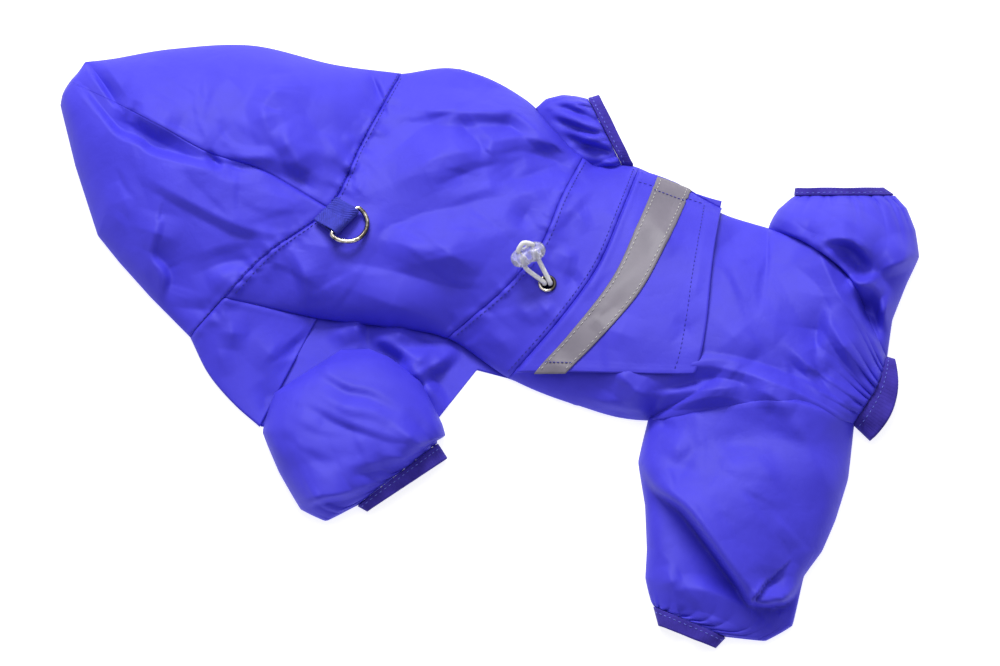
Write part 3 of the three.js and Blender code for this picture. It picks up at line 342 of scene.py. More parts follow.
BELLY_CREASES = [
    (3, 5, (2, 4, 1), ((-86, 12), (-86, 3), (-85, -6))),
    (6, 3, (0, 4.6, 4.6, 1), ((-78, -6), (-69, -4), (-56, -12), (-46, -18))),
    (3, 7, (0, 4.6, 4.6), ((-26, -8), (-36, -17), (-49, -25))),
    (3, 7, (2, 4.6, 1), ((-48, -25), (-42, -34), (-33, -47))),
    (6, 3, (0, 3.6, 1), ((-70, 4), (-60, 0), (-48, -3))),
    (3, 5, (0, 2.4, 2), ((-40, -6), (-46, -14), (-52, -20))),
    (4, 4, (0, 2, 0), ((-100, 8), (-96, 0), (-92, -8))),
]


def near_line(creases, u, v):
    """The sum of the creases' heights over the points u, v."""
    total = np.zeros(len(u))
    for left, right, heights, through in creases:
        line = np.array(through, dtype=float)
        length = np.hypot(*np.diff(line, axis=0).T).sum()
        count = max(3, int(length / 2.5))
        at = np.linspace(0, len(line) - 1, count)
        pu, pv = smooth(line[:, 0], at), smooth(line[:, 1], at)
        tall = np.interp(np.linspace(0, 1, count), np.linspace(0, 1, len(heights)), heights)
        reach = 2.2 * max(left, right) + 1
        close = np.flatnonzero((u > pu.min() - reach) & (u < pu.max() + reach)
                               & (v > pv.min() - reach) & (v < pv.max() + reach))
        if not len(close):
            continue
        cu, cv = u[close, None], v[close, None]
        du, dv = np.diff(pu), np.diff(pv)
        square = np.maximum(du * du + dv * dv, 1e-9)
        part = np.clip(((cu - pu[:-1]) * du + (cv - pv[:-1]) * dv) / square, 0, 1)
        ou, ov = cu - pu[:-1] - part * du, cv - pv[:-1] - part * dv
        off = np.hypot(ou, ov)
        best = off.argmin(axis=1)
        rows = np.arange(len(close))
        off, part = off[rows, best], part[rows, best]
        on_left = du[best] * ov[rows, best] - dv[best] * ou[rows, best] > 0
        height = mix(tall[:-1][best], tall[1:][best], part)
        reach = 2.1 * np.where(on_left, left, right)
        away = np.minimum(1, (np.hypot(off, CREST_RADIUS) - CREST_RADIUS) / reach)
        total[close] += CREASE_DEPTH * height * (1 - away) ** 1.12
    return total


def small_creases(seed, low, high, count, height, length, turn):
    """Faint creases over a stretch of the drawing between two corners, about turn degrees steep."""
    chance = random.Random(seed)
    rows = []
    for _ in range(count):
        u, v = chance.uniform(low[0], high[0]), chance.uniform(low[1], high[1])
        steep = math.radians(turn) + chance.gauss(0, 0.5)
        half = length * chance.uniform(0.25, 0.7)
        du, dv = half * math.cos(steep), half * math.sin(steep)
        bend = chance.uniform(-0.25, 0.25)
        through = ((u - du, v - dv), (u - bend * dv, v + bend * du), (u + du, v + dv))
        tall = height * chance.uniform(0.35, 1) * chance.choice((1, 1, -1))
        sides = [chance.uniform(1.2, 2.6), chance.uniform(4, 10)]
        chance.shuffle(sides)
        rows.append((*sides, (0, tall, 0.6 * tall, 0), through))
    return rows


def puckers(seed, line, span, sides, spacing, height, length):
    """Short puckers that run out of a seam, to one side (1 or -1) or to both."""
    chance = random.Random(seed)
    ends = [np.array(line(np.array([x])))[:, 0] for x in span]
    run = math.dist(*ends)
    rows = []
    x = span[0]
    while x < span[1]:
        x += (span[1] - span[0]) * spacing * chance.uniform(0.5, 1.5) / run
        for side in sides:
            p = np.array(line(np.array([x])))[:, 0]
            q = np.array(line(np.array([x + 0.01])))[:, 0]
            out = side * np.array([-(q - p)[1], (q - p)[0]]) / max(math.dist(p, q), 1e-6)
            lean = chance.uniform(-0.5, 0.5)
            out = out + lean * (q - p) / max(math.dist(p, q), 1e-6)
            far = length * chance.uniform(0.35, 1.2)
            tall = height * chance.uniform(0.4, 1.2) * chance.choice((1, 1, -1))
            mid = p + out * far * 0.5 + chance.uniform(-0.1, 0.1) * far * (q - p) / max(math.dist(p, q), 1e-6)
            rows.append((chance.uniform(1.2, 2.4), chance.uniform(1.2, 2.4), (tall, tall * 0.8, 0),
                         (tuple(p), tuple(mid), tuple(p + out * far))))
    return rows


def body_line(s):
    return lambda x: body_plan(np.full(np.shape(x), float(s)), np.asarray(x, dtype=float))


def body_edge(side):
    return lambda x: body_plan(HIPS + 2 * np.asarray(x, dtype=float), np.full(np.shape(x), float(side)))


def body_plan(s, x):
    lines = [row[0](x) for row in BODY]
    return smooth([p[0] for p in lines], s), smooth([p[1] for p in lines], s)


def hood_z(x, crown):
    low = FOLD_RADIUS + 0.6
    return low + (crown - low) * side_rise(1 - x, 1)


def body_z(s, x):
    crown = smooth(CROWN, s)
    along_leg = np.clip((s - HIPS) / (TAIL - HIPS), 0, 1)
    bulge = tube_top(2 * along_leg - 1)
    far_edge = np.where(s > HIPS, mix(FAR_Z[HIPS], FAR_Z[HAUNCHES], bulge), straight(FAR_Z, s))
    near_edge = np.where(s > HIPS, mix(NEAR_Z[HIPS], NEAR_Z[HAUNCHES], bulge), straight(NEAR_Z, s))
    far_rise = side_rise(2 * x, straight(FAR_SHARP, s))
    near_rise = side_rise(2 - 2 * x, straight(NEAR_SHARP, s))
    z = np.where(x < 0.5, mix(far_edge, crown, far_rise), mix(near_edge, crown, near_rise))
    on_neck = np.where(x < 0.5, 1 - 2 * x, (2 * x - 1) * (2 * CHEST_SEAM_ON_NECK - 1))
    to_neck = np.maximum(0, 1 - s / 0.5) ** 2
    old = np.where(x < 0.5, mix(2.1, 26, side_rise(2 * x, 1)), mix(17, 26, side_rise(2 - 2 * x, 0)))
    return z + to_neck * (hood_z(on_neck, 26) - old)


TOP_CREASES = (
    BODY_CREASES + HOOD_CREASES + CHEST_CREASES
    + puckers(3, neck_seam, (0.0, 1.0), (1, -1), 6, 0.55, 13)
    + puckers(5, body_line(FRONT_WAIST), (0.03, 0.97), (1, -1), 9, 0.4, 12)
    + puckers(6, body_line(REAR_WAIST), (0.03, 0.97), (1,), 9, 0.4, 12)
    + small_creases(11, (-240, 20), (-120, 165), 24, 0.75, 46, -35)
    + small_creases(14, (-190, 70), (-70, 165), 16, 0.75, 40, -65)
    + small_creases(12, (-110, -10), (50, 150), 34, 0.7, 46, 15)
    + small_creases(13, (60, -50), (230, 90), 26, 0.65, 50, -75)
)
LEG_TOP_CREASES = (
    BODY_CREASES + FAR_LEG_CREASES + NEAR_LEG_CREASES
    + small_creases(21, (85, -180), (205, -50), 26, 0.7, 44, -50)
    + small_creases(22, (165, 0), (250, 84), 14, 0.7, 34, -70)
)
FRONT_NEAR_TOP = FRONT_LEG_CREASES + small_creases(23, (-140, -110), (-35, -15), 20, 0.7, 34, -25)
FRONT_FAR_TOP = [
    (6, 1.8, (0, 4, 3), ((34, 141), (46, 137), (57, 132))),
    (3, 2.4, (-1, -4, -3), ((34, 138), (46, 134), (58, 129))),
    (5, 1.8, (1, 4, 3), ((34, 133), (46, 128), (61, 123))),
    (3, 2.4, (-1, -4.5, -3), ((36, 129), (48, 124), (62, 119))),
    (5, 1.6, (0, 4, 3), ((38, 125), (52, 118), (66, 114))),
    (3, 3, (-1, -4, -3), ((42, 119), (54, 113), (68, 109))),
    (3, 2, (0, 3, 2), ((44, 143), (50, 139), (55, 138))),
]

# Places where hard parts stand keep their cloth smooth: u, v and how far the smoothing reaches
SMOOTH_SPOTS = [(28.4, 29.6, 10), (-100, 72, 16), (-86, 62, 14)]


def top_relief(u, v, creases):
    height = near_line(creases, u, v)
    for spot_u, spot_v, reach in SMOOTH_SPOTS:
        height *= 1 - np.exp(-(((u - spot_u) ** 2 + (v - spot_v) ** 2) / reach ** 2) ** 2)
    return height


def seam_groove(distance):
    return -0.75 * np.exp(-(distance / 0.9) ** 2) + 0.35 * np.exp(-((distance - 2.6) / 2.0) ** 2)


def millimetres(line_at, a, b):
    """How far apart the two ends a and b of a line are, in millimetres on the drawing."""
    p, q = line_at(a), line_at(b)
    return np.hypot(p[0] - q[0], p[1] - q[1])


# The body's cloth. x runs from the far edge at 0 over the spine to the near edge at 1.

ROW_LENGTH = 43.0


def body_cloth(s, x):
    u, v = body_plan(s, x)
    z = body_z(s, x) + top_relief(u, v, TOP_CREASES + FAR_LEG_CREASES) * (1 - beneath_flap(s, x))
    for seam in (NECK, FRONT_WAIST, REAR_WAIST):
        z += seam_groove(np.abs(s - seam) * ROW_LENGTH)
    to_tail = np.maximum(0, TAIL - s) * 42
    lobe, reach = lobes(x, 9, 31)
    gather = (5.6 * lobe - 2.8) * np.exp(-to_tail / (9 * reach)) * np.minimum(1, 8 * np.minimum(x, 1 - x))
    z += gather * np.clip(0.35 + to_tail / 4, 0, 1)
    return u, v, np.maximum(z, 1.0)


def lobes(place, count, seed):
    """Rounded lobes of gathered cloth between sharp valleys, and how far each one reaches."""
    chance = np.random.default_rng(seed)
    knots = (np.arange(count + 1) + np.concatenate([[0], chance.uniform(-0.3, 0.3, count - 1), [0]])) / count
    tall = chance.uniform(0.55, 1.0, count)
    reach = chance.uniform(0.5, 1.6, count)
    i = np.clip(np.searchsorted(knots, place, side="right") - 1, 0, count - 1)
    local = np.clip((place - knots[i]) / (knots[i + 1] - knots[i]), 0, 1)
    round_top = np.sin(math.pi * local) ** 0.7
    spread = mix(reach[i], (reach[i] + reach[(i + 1) % count]) / 2, local)
    return round_top * tall[i], spread


def body_with_allowance(s, a):
    """The body's cloth and, past each edge, its seam allowance or the turn under the coat."""
    tuck = 0.045
    x = np.clip((a - tuck) / (1 - 2 * tuck), 0, 1)
    u, v, z = body_cloth(s, x)
    beyond = np.where(a < 0.5, (tuck - a) / tuck, (a - 1 + tuck) / tuck)
    beyond = np.maximum(0, beyond)
    inner = np.where(a < 0.5, 0.03, 0.97)
    iu, iv = body_plan(s, inner)
    eu, ev = body_plan(s, np.where(a < 0.5, 0.0, 1.0))
    size = np.hypot(iu - eu, iv - ev)
    lying = np.clip((HIPS - s) / 0.25, 0, 1) * np.where(a < 0.5, 1, np.clip((s - 1) / 0.15, 0, 1))
    depth = mix(2.5, 11, lying) * beyond
    drop = np.where(lying > 0.5, 0.5, 3.0) * np.minimum(1, beyond * 1.5)
    return u + (iu - eu) / size * depth, v + (iv - ev) / size * depth, np.maximum(z - drop, 0.6)


def chest_cloth(s, x):
    on_back = smooth([row[0] for row in CHEST], s)
    u0, v0 = body_plan(on_back, np.ones(len(s)))
    z0 = body_z(on_back, np.ones(len(s)))
    u1 = smooth([row[1][0] for row in CHEST], s)
    v1 = smooth([row[1][1] for row in CHEST], s)
    u, v = mix(u0, u1, x), mix(v0, v1, x)
    z = ON_BELLY + (z0 - ON_BELLY) * side_rise(1 - x, 0.7)
    z += top_relief(u, v, TOP_CREASES + FAR_LEG_CREASES) * (1 - x ** 6)
    z += seam_groove(x * np.hypot(u1 - u0, v1 - v0)) + seam_groove(s * 26)
    return u, v, np.maximum(z, 1.0)


def belly_cloth(s, x):
    cap = np.maximum(s, 1)
    far = [smooth([row[0][i] for row in BELLY], cap) for i in (0, 1)]
    near = [smooth([row[1][i] for row in BELLY], cap, 1) for i in (0, 1)]
    on_neck = neck_seam(x)
    share = np.maximum(0, 1 - s)
    u, v = (mix(mix(far[i], near[i], x), on_neck[i], share) for i in (0, 1))
    return u, v, np.maximum(0.6 + near_line(BELLY_CREASES, u, v), 0.5)


def hood_cloth(far):
    """w runs from the centre seam to the edge at 0.78 and from there back under the hood."""
    def place(s, w):
        turn = 0.78
        x = np.sin(np.clip(w / turn, 0, 1) * math.pi / 2)
        crown = smooth([row[1] for row in HOOD], s)

        def plan(at):
            lines = [row[0](0.5 - at / 2 if far else 0.5 + at / 2) for row in HOOD]
            corners = 0 if far else at ** 3
            return smooth([p[0] for p in lines], s, corners), smooth([p[1] for p in lines], s, corners)
        start, end = plan(np.zeros(len(s))), plan(np.ones(len(s)))
        width = np.hypot(end[0] - start[0], end[1] - start[1])
        past = np.clip((w - turn) / (1 - turn), 0, 1)
        bend = np.clip(past / 0.22, 0, 1) * math.pi / 2
        back = FOLD_RADIUS * (1 - np.cos(bend))
        back = back + np.clip((past - 0.22) / 0.78, 0, 1) * np.minimum(HOOD_RETURN, 0.6 * width)
        u, v = plan(np.where(w <= turn, x, 1 - back / width))
        low = FOLD_RADIUS + 0.6
        crown = low + 0.8 + (crown - low - 0.8) * np.sqrt(1 - np.clip((s - 4.55) / 0.45, 0, 1) ** 2)
        z = hood_z(x, crown) + (1 - x ** 8) * top_relief(u, v, TOP_CREASES + FAR_LEG_CREASES)
        z += seam_groove(s * ROW_LENGTH) * (w < turn)
        z += 0.8 * seam_groove(x * width) * (w < turn) * np.clip(2.3 - s, 0, 1)
        z = np.where(w <= turn, z, low - FOLD_RADIUS * np.sin(bend))
        return u, v, np.maximum(z, 0.6)
    return place


def tube_ring(a, line, rise, floor, relief_of):
    """A flattened tube: a runs over its top from left to right up to 0.62, and back below."""
    turn = 0.62
    top = a <= turn
    angle = np.where(top, math.pi * (a / turn - 0.5), math.pi * (0.5 - (a - turn) / (1 - turn)))
    x = np.sin(angle)
    u, v = line((x + 1) / 2)
    bed = floor + 0.6
    over = bed + FOLD_RADIUS + (rise - bed - FOLD_RADIUS) * tube_top(x)
    under = bed + FOLD_RADIUS * (1 - np.sqrt(np.maximum(0, 1 - np.abs(x) ** 24)))
    z = np.where(top, over + relief_of(u, v, x), under)
    return u, v, np.maximum(z, 0.6)


def leg_cloth(table, creases, gathers, seed, edge_side=None, gather_length=15):
    lines = []
    for left, right, rise, floor, bow in table:
        lines.append(body_edge(edge_side) if left is None else chord(left, right, bow))
    last = len(table) - 1

    def place(b, a):
        s = b * last

        def line(x):
            points = [row(x) for row in lines]
            us = [np.broadcast_to(p[0], np.shape(x)) for p in points]
            vs = [np.broadcast_to(p[1], np.shape(x)) for p in points]
            corners = 0.85 * np.abs(2 * x - 1) ** 3
            return smooth(us, s, corners), smooth(vs, s, corners)
        rise = smooth([row[2] for row in table], s)
        floor = straight([row[3] for row in table], s)
        left = line(np.zeros(len(s)))
        tail_left = chord(table[-1][0], table[-1][1])(np.zeros(len(s)))
        tail_right = chord(table[-1][0], table[-1][1])(np.ones(len(s)))
        right = line(np.ones(len(s)))
        to_cuff = 0.5 * (np.hypot(left[0] - tail_left[0], left[1] - tail_left[1])
                         + np.hypot(right[0] - tail_right[0], right[1] - tail_right[1]))
        lobe, reach = lobes(a, gathers, seed)

        def relief_of(u, v, x):
            folds = near_line(creases, u, v) * (1 - np.abs(x) ** 10)
            folds = folds * np.clip(to_cuff / 10 + 0.25, 0, 1)
            gather = (5.4 * lobe - 2.8) * np.exp(-to_cuff / (gather_length * reach)) * (1 - x ** 12)
            return folds + gather * np.clip(0.35 + to_cuff / 4, 0, 1)
        u, v, z = tube_ring(a, line, rise, floor, relief_of)
        return u, v, z - 90 * np.maximum(0, -b)
    return place


def cuff_knit(table, ribs):
    (seam, edge) = table
    lines = [chord(seam[0], seam[1], seam[3]), chord(edge[0], edge[1], edge[3])]

    def place(b, a):
        def line(x):
            p, q = lines[0](x), lines[1](x)
            return mix(p[0], q[0], b), mix(p[1], q[1], b)
        rib = 0.12 * np.abs(np.sin(math.pi * ribs * a))
        wave = 0.5 * np.sin(2 * math.pi * (a * 5 + b * 0.3))

        def relief_of(u, v, x):
            return (rib + wave) * (1 - x ** 12)
        return tube_ring(a, line, mix(seam[2], edge[2], b), np.full(len(b), 0.3), relief_of)
    return place


# The flap and the tape lie on the rump panel.

FLAP_FAR_LENGTH = 0.97
FLAP_NEAR_LENGTH = 1.72
FLAP_FAR_X = 0.03
FLAP_NEAR_X_AT_SEAM = 0.95
FLAP_NEAR_X_AT_EDGE = 0.7


def moved_out(place, lift):
    def moved(a, b):
        step = 0.02
        p = np.stack(place(a, b))
        over = np.stack(place(a, b + step)) - np.stack(place(a, b - step))
        along = np.stack(place(a + step, b)) - p
        normal = np.cross(over.T, along.T)
        normal /= np.linalg.norm(normal, axis=1)[:, None]
        normal[normal[:, 2] < 0] *= -1
        return tuple((p.T + normal * np.broadcast_to(lift(a, b), a.shape)[:, None]).T)
    return moved


def under_flap(a, b):
    s = REAR_WAIST + 0.02 + a * mix(FLAP_FAR_LENGTH, FLAP_NEAR_LENGTH, b)
    x = mix(mix(FLAP_FAR_X, -0.045, a), mix(FLAP_NEAR_X_AT_SEAM, FLAP_NEAR_X_AT_EDGE, a), b)
    u, v = body_plan(s, x)
    return u, v, body_z(s, x)


def beneath_flap(s, x):
    """1 where the flap covers the rump, 0 elsewhere."""
    b = np.clip((x - FLAP_FAR_X) / 0.8, 0, 1)
    a = (s - REAR_WAIST) / mix(FLAP_FAR_LENGTH, FLAP_NEAR_LENGTH, b)
    near_x = mix(FLAP_NEAR_X_AT_SEAM, FLAP_NEAR_X_AT_EDGE, np.clip(a, 0, 1))
    return np.clip(a * 20, 0, 1) * np.clip((1.04 - a) * 14, 0, 1) * np.clip((near_x + 0.01 - x) * 25, 0, 1)


FLAP_CREASES = [
    (5, 6, (0, 1.0, 0), ((86, 70), (98, 60), (104, 46))),
    (6, 5, (0, 1.0, 0), ((60, 4), (72, 0), (86, -6))),
    (4, 5, (0, 0.8, 0), ((24, -12), (34, -18), (46, -20))),
    (8, 8, (0, -1.2, 0), ((104, 8), (112, 2), (118, -10))),
] + small_creases(17, (40, -20), (120, 80), 18, 0.5, 34, 60)


def flap_cloth(a, b):
    u, v, z = moved_out(under_flap, lambda p, q: 1.9 + 1.4 * p + 3.2 * np.clip(q, 0, 1) ** 14 * (1 - p))(a, b)
    z = z + near_line(FLAP_CREASES, u, v)
    from_edge = (1 - a) * mix(44, 88, b)
    from_top = b * 130
    from_bottom = (1 - b) * 130
    for distance, hem in ((from_edge, 10), (from_top, 8.5), (from_bottom, 6)):
        z = z + 0.45 / (1 + np.exp((distance - hem) * 2.5)) - 0.3 * np.exp(-((distance - hem + 1.2) / 0.8) ** 2)
    return u, v, z + seam_groove(a * 60 + 0.6)


def tape_cloth(a, b):
    start, end = flap_cloth(np.zeros_like(b), b), flap_cloth(np.ones_like(b), b)
    width = np.hypot(end[0] - start[0], end[1] - start[1])
    base = moved_out(lambda p, q: flap_cloth((TAPE_SET_BACK + p * TAPE_WIDTH) / width, q), lambda p, q: 1.0)
    return base(a, 0.012 + 0.995 * b)


# Meshes


def new_object(name, bm, material, solid=0.0, offset=0.0):
    mesh = bpy.data.meshes.new(name)
    bm.to_mesh(mesh)
    bm.free()
    mesh.materials.append(material)
    for face in mesh.polygons:
        face.use_smooth = True
    piece = bpy.data.objects.new(name, mesh)
    bpy.context.scene.collection.objects.link(piece)
    if solid:
        shell = piece.modifiers.new("cloth thickness", "SOLIDIFY")
        shell.thickness = solid * MM
        shell.offset = offset
        shell.use_rim = True
    return piece


def cloth_piece(name, place, columns, rows, material, wrap=False, thickness=NYLON, hole=None):
    """A grid whose points place(along, over) gives, both from 0 to 1, made a thin shell."""
    bm = bmesh.new()
    bm.loops.layers.uv.new("weave")
    bmesh.ops.create_grid(bm, x_segments=columns, y_segments=rows, size=0.5, calc_uvs=True)
    at = np.array([vert.co[:] for vert in bm.verts]) + 0.5
    points = on_table(*place(at[:, 1], at[:, 0]))
    for vert, point in zip(bm.verts, points):
        vert.co = point
    if wrap:
        bmesh.ops.remove_doubles(bm, verts=bm.verts, dist=0.00001)
    if hole:
        centre, radius = hole
        inside = [face for face in bm.faces if (face.calc_center_median() - centre).length < radius]
        bmesh.ops.delete(bm, geom=inside, context="FACES")
    bmesh.ops.recalc_face_normals(bm, faces=bm.faces)
    if not wrap:
        up = sum(face.normal.z * face.calc_area() for face in bm.faces)
        if up < 0:
            bmesh.ops.reverse_faces(bm, faces=bm.faces)
    return new_object(name, bm, material, thickness)


# Materials


def node_group(name, inputs, outputs):
    group = bpy.data.node_groups.new(name, "ShaderNodeTree")
    for socket, kind, value in inputs:
        made = group.interface.new_socket(socket, in_out="INPUT", socket_type=kind)
        made.default_value = value
    for socket, kind in outputs:
        group.interface.new_socket(socket, in_out="OUTPUT", socket_type=kind)
    return group, group.nodes.new("NodeGroupInput"), group.nodes.new("NodeGroupOutput")


def math_node(nodes, links, operation, a, b):
    made = nodes.new("ShaderNodeMath")
    made.operation = operation
    for socket, value in zip(made.inputs, (a, b)):
        if isinstance(value, (int, float)):
            socket.default_value = value
        else:
            links.new(value, socket)
    return made.outputs[0]


def cloth_grain():
    """Fine weave and slow unevenness on Object coordinates: a height and a mask of tone. On the steel, this tone
    mask paints dark and bright reflections.
    """
    group, given, out = node_group(
        "cloth grain",
        [("Threads per metre", "NodeSocketFloat", 1800.0), ("Unevenness size", "NodeSocketFloat", 40.0),
         ("Thread height", "NodeSocketFloat", 0.3)],
        [("Height", "NodeSocketFloat"), ("Tone", "NodeSocketFloat"), ("Crinkle", "NodeSocketFloat")])
    nodes, links = group.nodes, group.links
    place = nodes.new("ShaderNodeTexCoord")
    slow = nodes.new("ShaderNodeTexNoise")
    slow.inputs["Detail"].default_value = 4.0
    slow.inputs["Roughness"].default_value = 0.55
    links.new(place.outputs["Object"], slow.inputs["Vector"])
    links.new(given.outputs["Unevenness size"], slow.inputs["Scale"])
    threads = nodes.new("ShaderNodeTexNoise")
    threads.inputs["Detail"].default_value = 1.0
    links.new(place.outputs["Object"], threads.inputs["Vector"])
    links.new(given.outputs["Threads per metre"], threads.inputs["Scale"])
    fine = math_node(nodes, links, "MULTIPLY", threads.outputs[0], given.outputs["Thread height"])
    height = math_node(nodes, links, "ADD", fine, slow.outputs[0])
    links.new(height, out.inputs["Height"])
    links.new(slow.outputs[0], out.inputs["Tone"])
    patches = nodes.new("ShaderNodeTexNoise")
    patches.inputs["Scale"].default_value = 9.0
    links.new(place.outputs["Object"], patches.inputs["Vector"])
    wander = nodes.new("ShaderNodeVectorMath")
    wander.operation = "MULTIPLY_ADD"
    wander.inputs[1].default_value = (0.035, 0.035, 0.035)
    links.new(slow.outputs["Color"], wander.inputs[0])
    links.new(place.outputs["Object"], wander.inputs[2])
    total = 0.0
    for cells, depth in ((16.0, 1.5), (38.0, 0.7)):
        facet = nodes.new("ShaderNodeTexVoronoi")
        facet.feature = "DISTANCE_TO_EDGE"
        facet.inputs["Scale"].default_value = cells
        links.new(wander.outputs[0], facet.inputs["Vector"])
        scaled = math_node(nodes, links, "MULTIPLY", facet.outputs["Distance"], depth)
        total = math_node(nodes, links, "ADD", scaled, total)
    mask = nodes.new("ShaderNodeMapRange")
    mask.inputs["From Min"].default_value = 0.42
    mask.inputs["From Max"].default_value = 0.62
    mask.inputs["To Min"].default_value = 0.35
    links.new(patches.outputs[0], mask.inputs["Value"])
    links.new(math_node(nodes, links, "MULTIPLY", total, mask.outputs["Result"]), out.inputs["Crinkle"])
    return group


def cloth_material(name, dark, light, roughness, grain, threads=1800.0, uneven=40.0, thread_height=0.3,
                   bump=0.25, sheen=0.0, sheen_tint=(1, 1, 1, 1), specular=0.4, metallic=0.0, crinkle=0.0,
                   tone_span=(0.3, 0.7)):
    made = bpy.data.materials.new(name)
    made.use_nodes = True
    nodes, links = made.node_tree.nodes, made.node_tree.links
    shader = nodes["Principled BSDF"]
    shader.inputs["Specular IOR Level"].default_value = specular
    shader.inputs["Metallic"].default_value = metallic
    shader.inputs["Sheen Weight"].default_value = sheen
    shader.inputs["Sheen Roughness"].default_value = 0.45
    shader.inputs["Sheen Tint"].default_value = sheen_tint
    group = nodes.new("ShaderNodeGroup")
    group.node_tree = grain
    group.inputs["Threads per metre"].default_value = threads
    group.inputs["Unevenness size"].default_value = uneven
    group.inputs["Thread height"].default_value = thread_height
    tone = nodes.new("ShaderNodeValToRGB")
    tone.color_ramp.elements[0].position = tone_span[0]
    tone.color_ramp.elements[0].color = (*dark, 1)
    tone.color_ramp.elements[1].position = tone_span[1]
    tone.color_ramp.elements[1].color = (*light, 1)
    links.new(group.outputs["Tone"], tone.inputs["Fac"])
    links.new(tone.outputs["Color"], shader.inputs["Base Color"])
    spread = nodes.new("ShaderNodeMapRange")
    spread.inputs["To Min"].default_value = roughness - 0.05
    spread.inputs["To Max"].default_value = roughness + 0.07
    links.new(group.outputs["Tone"], spread.inputs["Value"])
    links.new(spread.outputs["Result"], shader.inputs["Roughness"])
    relief = nodes.new("ShaderNodeBump")
    relief.inputs["Strength"].default_value = bump
    relief.inputs["Distance"].default_value = 0.0004
    links.new(group.outputs["Height"], relief.inputs["Height"])
    links.new(relief.outputs["Normal"], shader.inputs["Normal"])
    if crinkle:
        facets = nodes.new("ShaderNodeBump")
        facets.inputs["Strength"].default_value = crinkle
        facets.inputs["Distance"].default_value = 0.001
        links.new(group.outputs["Crinkle"], facets.inputs["Height"])
        links.new(facets.outputs["Normal"], relief.inputs["Normal"])
    return made


grain = cloth_grain()
nylon = cloth_material("royal blue coated nylon", (0.047, 0.038, 0.57), (0.057, 0.047, 0.65), 0.55, grain,
                       specular=0.22, crinkle=0.7)
knit = cloth_material("dark blue ribbed elastic", (0.030, 0.018, 0.25), (0.048, 0.032, 0.36), 0.85, grain,
                      threads=2600.0, uneven=120.0, thread_height=0.9, bump=0.5, sheen=0.25,
                      sheen_tint=(0.5, 0.45, 1.0, 1), specular=0.2)
twill = cloth_material("blue twill webbing", (0.028, 0.030, 0.34), (0.048, 0.055, 0.52), 0.75, grain,
                       threads=2200.0, uneven=300.0, thread_height=0.8, bump=0.4, sheen=0.2,
                       sheen_tint=(0.5, 0.5, 1.0, 1), specular=0.3)
tape_cloth_grey = cloth_material("grey reflective tape", (0.150, 0.135, 0.175), (0.185, 0.165, 0.210), 0.5, grain,
                                 threads=3200.0, uneven=60.0, thread_height=0.25, bump=0.15, specular=0.5)
# The steel's dark brown and pale gold patches are painted reflections. They stand in for the surroundings that
# the metal would mirror.
steel_painted_reflections = cloth_material("nickel-plated steel", (0.10, 0.085, 0.07), (0.72, 0.66, 0.58), 0.16, grain,
                       threads=900.0, uneven=110.0, thread_height=0.05, bump=0.04, metallic=1.0,
                       tone_span=(0.44, 0.56))
white_braid = cloth_material("white braided elastic", (0.72, 0.71, 0.75), (0.86, 0.85, 0.88), 0.75, grain,
                             threads=2600.0, uneven=200.0, thread_height=0.7, bump=0.3, sheen=0.2)
blue_thread = cloth_material("dark blue thread", (0.020, 0.018, 0.26), (0.035, 0.030, 0.40), 0.6, grain,
                             threads=4000.0, uneven=400.0, thread_height=0.5, bump=0.2)
pale_blue_thread = cloth_material("pale blue thread", (0.11, 0.13, 0.62), (0.18, 0.21, 0.80), 0.6, grain,
                                  threads=4000.0, uneven=400.0, thread_height=0.5, bump=0.2)
white_thread = cloth_material("off-white thread", (0.55, 0.54, 0.52), (0.72, 0.71, 0.68), 0.65, grain,
                              threads=4000.0, uneven=400.0, thread_height=0.5, bump=0.2)


def clear_plastic_material():
    made = bpy.data.materials.new("clear moulded plastic")
    made.use_nodes = True
    nodes, links = made.node_tree.nodes, made.node_tree.links
    shader = nodes["Principled BSDF"]
    shader.inputs["Base Color"].default_value = (0.93, 0.93, 0.98, 1)
    shader.inputs["Metallic"].default_value = 0.0
    shader.inputs["Transmission Weight"].default_value = 0.78
    shader.inputs["IOR"].default_value = 1.45
    group = nodes.new("ShaderNodeGroup")
    group.node_tree = grain
    group.inputs["Threads per metre"].default_value = 600.0
    group.inputs["Unevenness size"].default_value = 150.0
    group.inputs["Thread height"].default_value = 0.1
    spread = nodes.new("ShaderNodeMapRange")
    spread.inputs["To Min"].default_value = 0.10
    spread.inputs["To Max"].default_value = 0.24
    links.new(group.outputs["Tone"], spread.inputs["Value"])
    links.new(spread.outputs["Result"], shader.inputs["Roughness"])
    return made


clear_plastic = clear_plastic_material()

# Camera, square to the drawing, from far away so that the coat keeps its drawn outline
EYE_DISTANCE = 10.0
AIM = Vector((5.78, 1.94, 15)) * MM
lens = bpy.data.cameras.new("eye")
lens.lens = 600
lens.sensor_width = 36
lens.clip_start = 0.5
lens.clip_end = 60
eye = bpy.data.objects.new("eye", lens)
eye.location = AIM + EYE_DISTANCE * Vector((0, -math.cos(EYE_ELEVATION), math.sin(EYE_ELEVATION)))
eye.rotation_euler = (math.pi / 2 - EYE_ELEVATION, 0, 0)
bpy.context.scene.collection.objects.link(eye)
bpy.context.scene.camera = eye


# Hard parts: each has a frame of its own, given by its place and three directions.


def placed(origin, x_axis, y_axis, z_axis):
    turn = Matrix((x_axis, y_axis, z_axis)).transposed().to_4x4()
    return Matrix.Translation(Vector(origin)) @ turn


def loop_frame():
    u, v = (float(value) for value in neck_seam(np.array(0.5)))
    origin = Vector(on_table(u - 1.6, v - 0.2, 29.3) / MM)
    out = Vector((0.74, -0.67, 0)).normalized()
    x_axis = out.cross(Vector((0, 0, 1))).normalized()
    y_axis = out * math.cos(0.3) + Vector((0, 0, math.sin(0.3)))
    return origin, x_axis, y_axis, x_axis.cross(y_axis)


LOOP_LENGTH = 15.6
RING_INNER_WIDTH = 21.6
RING_DEPTH = 14.5
RING_DROOP = 0.34


